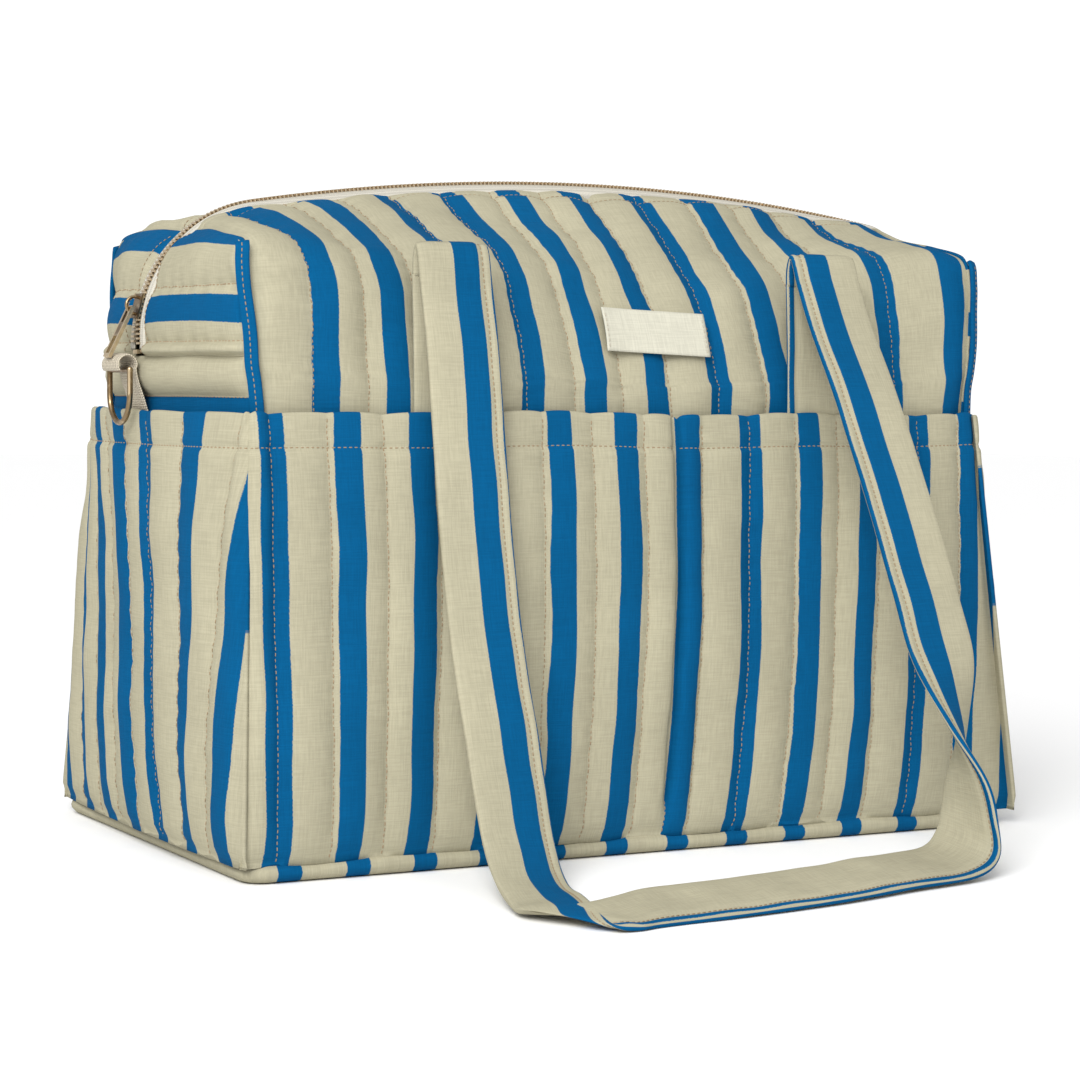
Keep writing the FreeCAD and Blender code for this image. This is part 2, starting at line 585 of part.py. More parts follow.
# Lining: thin cotton inside the walls and the base.
LINING_LEVELS = (
    ("{base_thick} + 3", "{wall_face}"),
    (f"{{pocket_top}} + {WALL_BEND}", "{wall_face}"),
    ("{lining_top}", "{shoulder_face}"),
)
for name, side in (("front_lining", -1), ("back_lining", 1)):
    sections = []
    for level, face in LINING_LEVELS:
        near = f"{face} - {{quilt}} - {{lining_gap}}"
        ring = [(-1, near), (1, near), (1, f"{near} - {{lining}}"), (-1, f"{near} - {{lining}}")]
        sections.append((level, [(f"{i} * ({{wall_half}} - 4)", f"{side} * ({y})") for i, y in ring]))
    loft(name, "XY_Plane", sections)
for name, side in (("left_lining", -1), ("right_lining", 1)):
    rim = [
        ("{end_corner}", "8 - {wall_face}"),
        ("{end_face}", "-{end_flat}"),
        ("{end_face}", "{end_flat}"),
        ("{end_corner}", "{wall_face} - 8"),
    ]
    near = "({quilt} + {lining_gap})"
    plan = [(f"{side} * ({x} - {near})", y) for x, y in rim]
    plan += [(f"{side} * ({x} - {near} - {{lining}})", y) for x, y in rim[::-1]]
    pad(name, "XY_Plane", plan, "{end_seam} - {base_thick} - 4", middle=False, height="{base_thick} + 3")
floor_low = ["4 - {wall_half}", "10 - {wall_face}", "{base_thick} + {lining_gap}"]
floor_high = ["{wall_half} - 4", "{wall_face} - 10", "{base_thick} + {lining_gap} + {lining}"]
keep(box("base_lining", floor_low, floor_high), "base_lining")

doc.recompute()
for item in doc.Objects:
    if "Invalid" in item.State or "Error" in item.State:
        raise SystemExit(f"{item.Name} failed: {item.State}")
os.makedirs("parts", exist_ok=True)
for item in parts:
    if item.Shape.isNull() or not item.Shape.isValid():
        raise SystemExit(f"{item.Label} has no valid shape")
    item.Shape.exportStep(f"parts/{item.Label}.step")
    print(item.Label, round(item.Shape.Volume / 1000, 1), "cm3")
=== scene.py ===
import math

import bpy
import numpy as np
from mathutils import Matrix, Vector


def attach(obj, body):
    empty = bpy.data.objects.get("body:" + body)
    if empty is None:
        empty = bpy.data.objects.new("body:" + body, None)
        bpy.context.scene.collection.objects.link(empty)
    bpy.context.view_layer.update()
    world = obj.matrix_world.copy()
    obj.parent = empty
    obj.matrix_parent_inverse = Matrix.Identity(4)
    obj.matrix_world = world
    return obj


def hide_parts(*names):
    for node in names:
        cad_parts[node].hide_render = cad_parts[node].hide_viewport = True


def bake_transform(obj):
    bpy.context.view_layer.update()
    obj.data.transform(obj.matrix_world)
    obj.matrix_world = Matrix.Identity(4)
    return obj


# A quilted, striped cotton holdall with a zip top, on a pale floor. Metres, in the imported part's frame:
# the origin is the middle of the base on the floor, +X the bag's right, +Y its back, +Z up.

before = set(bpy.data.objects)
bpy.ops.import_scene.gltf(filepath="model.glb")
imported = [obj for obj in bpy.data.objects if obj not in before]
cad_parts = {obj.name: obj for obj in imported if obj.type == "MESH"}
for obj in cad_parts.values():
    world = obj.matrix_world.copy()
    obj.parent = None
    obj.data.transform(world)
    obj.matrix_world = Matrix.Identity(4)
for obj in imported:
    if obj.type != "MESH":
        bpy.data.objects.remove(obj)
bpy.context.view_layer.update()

PITCH = 0.0375          # one blue stripe to the next, on the cloth
BLUE = 0.0131           # width of a blue stripe
POCKET_TOP = 0.228
BASE_TOP = 0.0085
POCKET_TALL = POCKET_TOP - BASE_TOP
HALF_ZIP = 0.0072       # panel edge from the middle of the zip
SIDES = (("left", -1), ("right", 1))    # the two ends and the sign of their x
WAYS = (("front", -1), ("back", 1))     # the two faces and the sign of their y

# ---- numbers and curves


def ripple(a, b, size, seed, waves=6):
    """Smooth unevenness from about -1 to 1 over two lengths, about size from one swell to the next."""
    rng = np.random.default_rng(seed)
    total = 0.0
    for _ in range(waves):
        turn, phase, stretch = rng.uniform(0, math.tau), rng.uniform(0, math.tau), rng.uniform(0.7, 1.5)
        place = a * math.cos(turn) + b * math.sin(turn)
        total = total + np.sin(math.tau * place / (size * stretch) + phase)
    return total / waves * 1.6


def through(at, places, values):
    """A parabola through three values."""
    (p, q, r), (a, b, c) = places, values
    return (
        a * (at - q) * (at - r) / ((p - q) * (p - r))
        + b * (at - p) * (at - r) / ((q - p) * (q - r))
        + c * (at - p) * (at - q) / ((r - p) * (r - q))
    )


def ease(x, low, high):
    t = np.clip((x - low) / (high - low), 0, 1)
    return t * t * (3 - 2 * t)


def bell(x, width):
    return np.exp(-((x / width) ** 2))


def catmull_rom(a, b, c, d, t):
    """Place at t, from 0 to 1, between b and c on a curve that comes from a and goes on to d."""
    bend, twist = 2 * a - 5 * b + 4 * c - d, 3 * b - a - 3 * c + d
    return 0.5 * (2 * b + (c - a) * t + bend * t**2 + twist * t**3)


def lengths(path):
    """Length along a path, from its start to each of its points."""
    return np.concatenate([[0], np.cumsum(np.linalg.norm(np.diff(path, axis=0), axis=1))])


def along_path(at, gone, table):
    """The columns of a table, whose rows are at lengths gone, read at other lengths."""
    return np.stack([np.interp(at, gone, column) for column in table.T], axis=-1)


def smooth_path(rows, count):
    """A smooth curve through rows of numbers, as count rows evenly spaced by its first three columns."""
    rows = np.asarray(rows, float)
    ends = np.vstack([2 * rows[0] - rows[1], rows, 2 * rows[-1] - rows[-2]])
    fine = []
    for i in range(len(rows) - 1):
        fine += [catmull_rom(*ends[i : i + 4], t) for t in np.linspace(0, 1, 24, endpoint=False)]
    fine = np.array(fine + [rows[-1]])
    gone = lengths(fine[:, :3])
    return along_path(np.linspace(0, gone[-1], count), gone, fine), gone[-1]


def unit(v):
    return v / np.maximum(np.linalg.norm(v, axis=-1, keepdims=True), 1e-9)


# ---- materials


class Nodes:
    """A new material with a Principled shader, and short calls that add nodes to it."""

    def __init__(self, name, roughness, metallic=0.0):
        self.material = bpy.data.materials.new(name)
        self.material.use_nodes = True
        self.tree = self.material.node_tree
        self.shader = self.tree.nodes["Principled BSDF"]
        self.shader.inputs["Roughness"].default_value = roughness
        self.shader.inputs["Metallic"].default_value = metallic

    def add(self, kind, links=(), **settings):
        node = self.tree.nodes.new(kind)
        for key, value in settings.items():
            if hasattr(node, key):
                setattr(node, key, value)
            else:
                node.inputs[key].default_value = value
        for socket, source in dict(links).items():
            self.tree.links.new(source, node.inputs[socket])
        return node

    def math(self, operation, a, b=0.0, c=0.0):
        node = self.tree.nodes.new("ShaderNodeMath")
        node.operation = operation
        for i, value in enumerate((a, b, c)):
            if isinstance(value, (int, float)):
                node.inputs[i].default_value = value
            else:
                self.tree.links.new(value, node.inputs[i])
        return node.outputs[0]

    def ramp(self, value, low, high, to_low=0.0, to_high=1.0):
        node = self.add("ShaderNodeMapRange", {0: value}, interpolation_type="SMOOTHSTEP")
        for i, number in zip((1, 2, 3, 4), (low, high, to_low, to_high)):
            node.inputs[i].default_value = number
        return node.outputs[0]

    def mix(self, factor, a, b, blend="MIX"):
        node = self.tree.nodes.new("ShaderNodeMix")
        node.data_type = "RGBA"
        node.blend_type = blend
        for i, value in ((0, factor), (6, a), (7, b)):
            if isinstance(value, (int, float)):
                node.inputs[i].default_value = value
            elif isinstance(value, tuple):
                node.inputs[i].default_value = (*value, 1)
            else:
                self.tree.links.new(value, node.inputs[i])
        return node.outputs[2]

    def noise(self, vector, scale, detail=2.0):
        node = self.add("ShaderNodeTexNoise", {"Vector": vector}, Scale=scale, Detail=detail)
        return node.outputs[0]

    def cloth(self):
        """The cloth's coordinates: across the stripes, along them, and how far inside a stripe's edge."""
        node = self.add("ShaderNodeAttribute", attribute_name="cloth")
        split = self.add("ShaderNodeSeparateXYZ", {0: node.outputs["Vector"]})
        return split.outputs

    def place(self, x, y, by_x, by_y):
        scaled = {0: self.math("MULTIPLY", x, by_x), 1: self.math("MULTIPLY", y, by_y)}
        return self.add("ShaderNodeCombineXYZ", scaled).outputs[0]

    def bump(self, height, distance, strength=1.0):
        node = self.add("ShaderNodeBump", {"Height": height}, Distance=distance, Strength=strength)
        self.tree.links.new(node.outputs[0], self.shader.inputs["Normal"])

    def colour(self, value):
        self.tree.links.new(value, self.shader.inputs["Base Color"])
        return self.material


SAGE = (0.356, 0.331, 0.235)
INK = (0.0008, 0.073, 0.187)
YARNS, SLUBS = 1500, 70     # noise across the yarns and along them, per metre


def cotton(name, ground=SAGE, ink=INK):
    """Plain-weave cotton with slubs in both directions, printed with stripes or left plain."""
    n = Nodes(name, 0.9)
    n.shader.inputs["Specular IOR Level"].default_value = 0.06
    across, along, inside = n.cloth()
    warp = n.noise(n.place(across, along, YARNS, SLUBS), 1.0)
    weft = n.noise(n.place(across, along, SLUBS, YARNS), 1.0)
    weave = n.math("ADD", warp, weft)
    body = ground
    if ink:
        frayed = n.math("MULTIPLY_ADD", n.math("SUBTRACT", weft, 0.5), 0.0009, inside)
        body = n.mix(n.ramp(frayed, -0.0002, 0.0002), ground, ink)
    shade = n.ramp(weave, 0.7, 1.3, 0.92, 1.08)
    woven = n.mix(1.0, body, shade, "MULTIPLY")
    where = n.add("ShaderNodeTexCoord").outputs["Object"]
    uneven = n.ramp(n.noise(where, 14.0, 3.0), 0.3, 0.7, 0.95, 1.05)
    n.bump(weave, 0.0003, 0.4)
    return n.colour(n.mix(1.0, woven, uneven, "MULTIPLY"))


def ribbed(name, ground, rib, depth):
    """Cream webbing or zip tape, with a rib every rib metres across it, and painted shade in the grooves
    between the ribs.
    """
    n = Nodes(name, 0.88)
    n.shader.inputs["Specular IOR Level"].default_value = 0.2
    across, along, _ = n.cloth()
    wave = n.math("SINE", n.math("MULTIPLY", across, math.tau / rib))
    cross = n.math("SINE", n.math("MULTIPLY", along, math.tau / (rib * 0.6)))
    fuzz = n.noise(n.place(across, along, 900, 900), 1.0)
    height = n.math("ADD", n.math("MULTIPLY_ADD", cross, 0.35, wave), n.math("MULTIPLY", fuzz, 0.8))
    n.bump(height, depth, 0.8)
    # The colour follows the rib height: painted shade in the grooves between the ribs, plus random yarn tone
    # from the fuzz.
    return n.colour(n.mix(1.0, ground, n.ramp(height, -1.0, 1.6, 0.86, 1.06), "MULTIPLY"))


def brass(name, dark, bright, rough):
    """Antique brass: brown in the hollows, rubbed bright on the edges."""
    n = Nodes(name, rough, 1.0)
    where = n.add("ShaderNodeTexCoord").outputs["Object"]
    blotch = n.noise(where, 260.0, 4.0)
    edge = n.add("ShaderNodeNewGeometry").outputs["Pointiness"]
    worn = n.math("ADD", n.ramp(edge, 0.5, 0.56), n.ramp(blotch, 0.52, 0.72, 0, 0.5))
    n.tree.links.new(n.ramp(blotch, 0.3, 0.7, rough + 0.12, rough - 0.06), n.shader.inputs["Roughness"])
    n.bump(n.noise(where, 900.0, 2.0), 0.0001, 0.3)
    return n.colour(n.mix(worn, dark, bright))


def thread(name, colour):
    n = Nodes(name, 0.8)
    n.shader.inputs["Base Color"].default_value = (*colour, 1)
    return n.material


STRIPED = cotton("striped_cotton")
BINDING = cotton("blue_binding", INK, None)
LINING = cotton("plain_lining", (0.45, 0.42, 0.33), None)
LABEL = cotton("cream_label", (0.50, 0.485, 0.40), None)
TAPE = ribbed("zip_tape", (0.50, 0.475, 0.41), 0.0016, 0.0002)
WEBBING = ribbed("cotton_webbing", (0.51, 0.455, 0.355), 0.0022, 0.0005)
BRASS = brass("antique_brass", (0.20, 0.135, 0.07), (0.58, 0.46, 0.29), 0.34)
TEETH = brass("zip_brass", (0.24, 0.17, 0.10), (0.62, 0.50, 0.34), 0.36)
THREAD = thread("tan_thread", (0.30, 0.21, 0.125))
PALE_THREAD = thread("pale_thread", (0.44, 0.40, 0.32))

# ---- making pieces


def band(s, width=BLUE):
    """Distance inside the nearest blue stripe's edge, below 0 outside it."""
    k = s / PITCH
    return width / 2 - np.abs(k - np.round(k)) * PITCH


def link(name, data):
    """A new object in the scene."""
    obj = bpy.data.objects.new(name, data)
    bpy.context.scene.collection.objects.link(obj)
    return obj


def piece(name, points, faces, material, cloth=None, smooth=True):
    mesh = bpy.data.meshes.new(name)
    mesh.from_pydata(np.asarray(points, float).reshape(-1, 3).tolist(), [], faces)
    mesh.update()
    if cloth is not None:
        layer = mesh.attributes.new("cloth", "FLOAT_VECTOR", "POINT")
        layer.data.foreach_set("vector", np.asarray(cloth, np.float32).ravel())
    mesh.materials.append(material)
    mesh.polygons.foreach_set("use_smooth", [smooth] * len(mesh.polygons))
    return link(name, mesh)


def sew_on(obj, slot, *nodes):
    """Puts a piece on the bag's own body, standing for the CAD nodes that it replaces."""
    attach(obj, "root")
    if nodes:
        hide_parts(*nodes)


def tube_faces(rows, size, flipped=False):
    """Faces of a closed tube, whose points are rows rings of size points each."""
    faces = []
    for i in range(rows - 1):
        for j in range(size):
            k = (j + 1) % size
            faces.append((i * size + j, i * size + k, (i + 1) * size + k, (i + 1) * size + j))
    faces.append(tuple(range(size))[::-1])
    faces.append(tuple(range((rows - 1) * size, rows * size)))
    return [face[::-1] for face in faces] if flipped else faces


def plate(name, front, back, material, cloth):
    """A thin closed sheet between two grids of points."""
    n, m = front.shape[:2]
    faces = []
    for i in range(n - 1):
        for j in range(m - 1):
            quad = (i * m + j, (i + 1) * m + j, (i + 1) * m + j + 1, i * m + j + 1)
            faces += [quad, tuple(n * m + a for a in quad[::-1])]
    grid = np.arange(n * m).reshape(n, m)
    border = np.concatenate([grid[:, 0], grid[-1, 1:], grid[-2::-1, -1], grid[0, -2:0:-1]]).tolist()
    faces += [(b, a, n * m + a, n * m + b) for a, b in zip(border, border[1:] + border[:1])]
    return piece(name, np.stack([front, back]), faces, material, np.stack([cloth, cloth]))


class Panel:
    """A quilted surface: a base(q, v), q counting the quilting lines and v running along them, and a lift."""

    def __init__(self, base, lift, out=1):
        self.base, self.lift, self.out = base, lift, out

    def normal(self, q, v):
        across = self.base(q + 0.02, v) - self.base(q - 0.02, v)
        along = self.base(q, v + 0.002) - self.base(q, v - 0.002)
        return unit(np.cross(across, along)) * self.out

    def point(self, q, v, above=0.0):
        q, v = np.broadcast_arrays(np.asarray(q, float), np.asarray(v, float))
        return self.base(q, v) + self.normal(q, v) * (self.lift(q, v) + above)[..., None]


def shell(name, panel, qs, vs, thick, cloth, round_rim=True):
    """A closed solid: the panel's outer face, an even inner face, and a rounded rim at the end of v."""
    q, v = np.meshgrid(qs, vs, indexing="ij")
    outer = panel.point(q, v)
    inner = panel.base(q, v) - panel.normal(q, v) * thick
    top, low = outer[:, -1], inner[:, -1]
    middle, half = (top + low) / 2, (top - low) / 2
    reach = unit(outer[:, -1] - outer[:, -2]) * np.linalg.norm(half, axis=-1, keepdims=True)
    turns = np.linspace(0, math.pi, 6)[1:-1] if round_rim else []
    rim = [middle + half * math.cos(turn) + reach * math.sin(turn) for turn in turns]
    points = np.stack([*outer.swapaxes(0, 1), *rim, *inner.swapaxes(0, 1)[::-1]], axis=1)
    marks = np.stack(cloth(q, v), axis=-1).swapaxes(0, 1)
    dye = np.stack([*marks, *[marks[-1]] * len(rim), *marks[::-1]], axis=1)
    count, size = points.shape[:2]
    faces = []
    for i in range(count - 1):
        for j in range(size):
            k = (j + 1) % size
            faces.append((i * size + j, (i + 1) * size + j, (i + 1) * size + k, i * size + k))
    last = (count - 1) * size
    for j in range(size // 2 - (0 if size % 2 else 1)):
        quad = (j, j + 1, size - 2 - j, size - 1 - j)
        faces.append(tuple(dict.fromkeys(quad)))
        faces.append(tuple(dict.fromkeys(last + n for n in quad[::-1])))
    if panel.out < 0:
        faces = [face[::-1] for face in faces]
    return piece(name, points, faces, STRIPED, dye)


def quilted(node, fill, *shape):
    """A quilted piece that stands for one CAD node."""
    obj = shell(f"{node}_quilted", *shape)
    sew_on(obj, "quilted_cotton", node)


STITCH_STEP = 0.0029
STITCH_LONG = 0.0019
STITCH_HALF = 0.00029       # half its width
# Rings along a stitch: place along it, girth and rise.
STITCH_RINGS = ((-0.5, 0.45, -0.6), (-0.3, 1.0, 0.35), (0.3, 1.0, 0.35), (0.5, 0.45, -0.6))


def stitches(name, runs, material=THREAD):
    """Rows of stitches as short raised threads. A run is its points and their outward directions."""
    points, faces = [], []
    pattern = tube_faces(len(STITCH_RINGS), 4)
    for path, out in runs:
        gone = lengths(path)
        at = np.arange(STITCH_STEP / 2, gone[-1] - STITCH_STEP / 2, STITCH_STEP)
        near = STITCH_STEP / 3
        ahead = unit(along_path(at + near, gone, path) - along_path(at - near, gone, path))
        up = unit(along_path(at, gone, unit(out)))
        for c, a, u, w in zip(along_path(at, gone, path), ahead, up, unit(np.cross(ahead, up))):
            first = len(points)
            for along, girth, rise in STITCH_RINGS:
                for i, j in ((-1, 0), (0, 1), (1, 0), (0, -1)):
                    ring = (w * i + u * (j * 0.8 + rise)) * STITCH_HALF * girth
                    points.append(c + a * along * STITCH_LONG + ring)
            faces += [tuple(first + n for n in face) for face in pattern]
    return piece(name, points, faces, material)


def row(panel, q, v, above=0.0001):
    """A run of stitches on a panel."""
    q, v = np.broadcast_arrays(np.asarray(q, float), np.asarray(v, float))
    return panel.point(q, v, above), panel.normal(q, v)


LINE_GAP = 0.028            # about the distance between two quilting lines of a pocket
PUCKER_REACH = 0.0045       # how fast puckers fade beside a line
PUCKER_STEP = 0.013         # one pucker to the next


def puff(q, sharp=2.3):
    """From 0 on a quilting line to 1 midway between two."""
    f = q - np.floor(q)
    return 1 - np.abs(2 * f - 1) ** sharp


def puckers(q, length, size, seed):
    """Small pulled creases beside each quilting line, over a length along it."""
    f = q - np.floor(q)
    near = np.exp(-np.minimum(f, 1 - f) * LINE_GAP / PUCKER_REACH)
    line = np.round(q)
    drift = 2 * ripple(length, line * 0.31, 0.06, seed)
    return size * near * np.sin(math.tau * length / PUCKER_STEP + line * 2.4 + drift)


def columns(count, each=12):
    """q from 0 to count, with more columns beside each line."""
    f = np.linspace(0, 1, each, endpoint=False)
    f = f - 0.09 * np.sin(math.tau * f)
    return np.concatenate([i + f for i in range(count)] + [[count]])


def between(q, lines):
    """Value at q among the lines' values, an array whose last axis runs over the lines."""
    count = lines.shape[-1] - 1
    i = np.clip(np.floor(q).astype(int), 0, count - 1)
    f = q - i
    a = np.take_along_axis(lines, i[..., None], -1)[..., 0]
    b = np.take_along_axis(lines, i[..., None] + 1, -1)[..., 0]
    return a + (b - a) * f


# ---- zip line

ZIP_FOOT = (0.2338, 0.261)          # x and z of both ends of the zip, from the bag's middle
LEFT_BEND = (-0.1578, 0.2645, 0.076)    # x and z of a bend's centre, and its radius
RIGHT_BEND = (0.216, 0.3138, 0.026)
BEND_POINTS = 60
CROWN_TILT = math.radians(9.5)      # rise of the crown where it leaves a bend


def bend_points(bend, side):
    turn = np.linspace(0, math.pi / 2 - CROWN_TILT, BEND_POINTS)
    x, z, radius = bend
    return np.stack([x + side * radius * np.cos(turn), z + radius * np.sin(turn)], axis=1)


def zip_line():
    """Points (x, z) of the zip from its left foot, up the end, over the crown and down the right end."""
    left = bend_points(LEFT_BEND, -1)
    right = bend_points(RIGHT_BEND, 1)
    share = np.linspace(0, 1, 140)[1:-1, None]
    rise = (right[-1, 0] - left[-1, 0]) / 2 * math.tan(CROWN_TILT / 2)
    crown = left[-1] + (right[-1] - left[-1]) * share + np.array([0, 1]) * 4 * rise * share * (1 - share)
    return np.vstack([(-ZIP_FOOT[0], ZIP_FOOT[1]), left, crown, right[::-1], ZIP_FOOT])


ZIP = zip_line()
ZIP_GONE = lengths(ZIP)
ZIP_LONG = ZIP_GONE[-1]


def zip_at(gone):
    """Middle of the zip and the directions along it and outwards, at a length from its left foot."""
    x, z = along_path(gone, ZIP_GONE, ZIP).T
    dx, dz = (along_path(gone + 0.002, ZIP_GONE, ZIP) - along_path(gone - 0.002, ZIP_GONE, ZIP)).T
    flat = np.zeros_like(x)
    along = unit(np.stack([dx, flat, dz], axis=-1))
    out = np.stack([-along[..., 2], flat, along[..., 0]], axis=-1)
    return np.stack([x, flat, z], axis=-1), along, out


def zip_height(x):
    crown = ZIP[1:-BEND_POINTS]
    return np.interp(x, crown[:, 0], crown[:, 1])


def on_crown(x):
    """1 along the crown, 0 at the two ends of it."""
    middle, half = 0.008, 0.205
    return 1 - np.clip(np.abs(x - middle) / half, 0, 1) ** 6


def zip_reach(side, z):
    """Distance of the zip from the bag's middle at one end of the bag, at a height."""
    half = ZIP[:BEND_POINTS] if side < 0 else ZIP[: -BEND_POINTS - 2 : -1]
    return np.interp(z, half[:, 1], np.abs(half[:, 0]))


# ---- pockets


def stripe(k, z, heights, *rows):
    """A place k stripes along a pocket: a parabola in k, whose three numbers are rows over the heights."""
    a, b, c = (through(z, heights, row) for row in rows)
    return a + b * k + c * k * k


def front_stripe(k, z):
    """x of a place k stripes along a front pocket, whose cloth was cut askew, so that the stripes lean."""
    start, pitch, curve = (-0.211, -0.209, -0.2087), (0.0382, 0.0406, 0.0412), (-0.0001, -0.00024, -0.00026)
    return stripe(k, z, (0.025, 0.135, 0.221), start, pitch, curve)


def end_stripe(k, z):
    """y of a place k stripes along an end pocket, whose cloth narrows to its top edge."""
    start, pitch, curve = (-0.114, -0.118, -0.1378), (0.0386, 0.0456, 0.0644), (0.0002, -0.0008, -0.0036)
    return stripe(k, z, (0.02, 0.108, 0.219), start, pitch, curve)


def height(v):
    return BASE_TOP + POCKET_TALL * v


# Quilting lines, counted in stripes.
FRONT_LINES = (0, 0.75, 1.5, 2.25, 3.0, 3.75, 4.5, 5.3, 5.83, 6.22, 7.0, 7.77, 8.5, 9.25, 10.0, 10.8)
DIVIDER = 9             # the pocket is stitched through at this line
END_LINES = (0.4, 1.2, 2.0, 2.8, 3.6, 4.4, 5.2)
HEM = 0.016
HEM_AT = (POCKET_TOP - HEM - BASE_TOP) / POCKET_TALL
POCKET_THICK = 0.0025
POCKET_FOOT_Y, POCKET_LEAN = -0.1362, 0.0182    # y of a front pocket's foot, and how far in its top lies
END_FOOT_HALF, END_TOP_HALF = 0.1385, 0.1172    # half the width of an end pocket at its foot and its top


def pocket_edges(v, way=-1):
    """x of the two upright edges of a front or back pocket, which is way -1 or 1."""
    left = -0.2305 + 0.0115 * v if way < 0 else -0.2295 + 0.0140 * v
    return left, 0.2350 - 0.0165 * v


def front_pocket_base(q, v, way):
    z = height(v)
    left, right = pocket_edges(v, way)
    x = between(q, np.stack([left, *(front_stripe(k, z) for k in FRONT_LINES), right], axis=-1))
    y = POCKET_FOOT_Y + POCKET_LEAN * v
    y = y - 0.0025 * np.sin(math.pi * np.clip(v, 0, 1)) * (1 - (x / 0.22) ** 2)
    y = y + 0.006 * ease(x, 0.185, 0.232) * (0.4 + 0.6 * v)
    z = z + 0.0016 * ripple(x, 0 * x, 0.16, 5) * v**6
    return np.stack([x, y, z], axis=-1)


def pocket_lift(seed, count, deep=0.0032, divider=None):
    def lift(q, v):
        z = height(v)
        hem = POCKET_TOP - HEM
        in_hem = ease(z, hem - 0.004, hem + 0.004)
        swell = puff(q) * deep * (1 - 0.45 * in_hem)
        swell = swell * (0.25 + 0.75 * ease(z, BASE_TOP, BASE_TOP + 0.025))
        groove = 0.0011 * bell(z - hem, 0.0018)
        across = q * LINE_GAP
        wide = 0.0016 * ripple(across, z, 0.12, seed) + 0.0006 * ripple(across, z, 0.035, seed + 1)
        pulled = puckers(q, z, 0.00045, seed + 2)
        ends = np.minimum(ease(q, 0, 0.35), ease(-q, -count, -count + 0.35))
        seam = 0.0026 * (1 - ease(z, BASE_TOP, BASE_TOP + 0.009))
        total = (swell + wide + pulled) * ends - groove - seam - 0.0003 * (1 - ends)
        if divider is not None:
            total = total - 0.0052 * bell(q - divider, 0.13) * ease(z, 0.01, 0.05)
        return total

    return lift


def end_half(v):
    return END_FOOT_HALF + (END_TOP_HALF - END_FOOT_HALF) * v


def end_pocket_base(side):
    def base(q, v):
        z = height(v)
        half = end_half(v)
        y = between(q, np.stack([-half, *(end_stripe(k, z) for k in END_LINES), half], axis=-1))
        corners = [np.abs(pocket_edges(v, way)[0 if side < 0 else 1]) + 0.0004 for way in (-1, 1)]
        corner = corners[0] + (corners[1] - corners[0]) * ease(y, -0.05, 0.05)
        middle = corner + 0.0050 + 0.0140 * v
        x = corner + (middle - corner) * (1 - np.abs(np.clip(y / half, -1, 1)) ** 2.6)
        return np.stack([side * x, y, z], axis=-1)

    return base


def pocket_cloth(lines, first, last):
    """Cloth marks of a pocket, from the stripe counts at its quilting lines and at its two edges."""

    def cloth(q, v):
        z = height(v)
        counts = [first(v, z), *(np.full_like(z, k) for k in lines), last(v, z)]
        s = between(q, np.stack(counts, axis=-1)) * PITCH
        return s, z, band(s + 0.0005 * ripple(z, s, 0.05, 3))

    return cloth


front_cloth = pocket_cloth(
    FRONT_LINES,
    lambda v, z: (pocket_edges(v)[0] - front_stripe(0, z)) / 0.0405,
    lambda v, z: FRONT_LINES[-1] + (pocket_edges(v)[1] - front_stripe(FRONT_LINES[-1], z)) / 0.0355,
)
end_cloth = pocket_cloth(
    END_LINES,
    lambda v, z: END_LINES[0] - (end_half(v) + end_stripe(END_LINES[0], z)) / 0.046,
    lambda v, z: END_LINES[-1] + (end_half(v) - end_stripe(END_LINES[-1], z)) / 0.036,
)
V_POCKET = np.concatenate([np.linspace(0, 0.9, 52), np.linspace(0.91, 1, 14)])


def pocket(label, panel, count, each, cloth, hem_points):
    quilted(f"{label}_pocket", 0.3, panel, columns(count, each), V_POCKET, POCKET_THICK, cloth)
    runs = [row(panel, float(q), np.linspace(0.01, 0.995, 120)) for q in range(1, count)]
    runs.append(row(panel, np.linspace(0.05, count - 0.05, hem_points), HEM_AT))
    sew_on(stitches(f"{label}_pocket_stitching", runs), "cream_cotton")


for label, way in WAYS:
    count = len(FRONT_LINES) + 1
    panel = Panel(
        lambda q, v, way=way: front_pocket_base(q, v, way) * np.array([1, -way, 1]),
        pocket_lift(11 + way, count, divider=DIVIDER),
        -way,
    )
    pocket(label, panel, count, 12, front_cloth, 700)
for label, side in SIDES:
    count = len(END_LINES) + 1
    panel = Panel(end_pocket_base(side), pocket_lift(31 + side, count, 0.0028), side)
    pocket(label, panel, count, 16, end_cloth, 400)

# ---- front and back panels

PUFF_DEPTH = 0.0024     # the sections go over the puffs, and the stitched lines lie this much deeper
PANEL_THICK = 0.0022
CONTROL_GAP = 0.032     # about the distance between two controls of a section
PANEL_CELL = 0.03       # about the distance between two quilting lines of a panel
SEAM_DEPTH = 0.0012     # how much deeper a panel lies in a seam at its edge
TOPSTITCH = 0.30        # the row of stitches beside the zip, in controls from the panel's edge

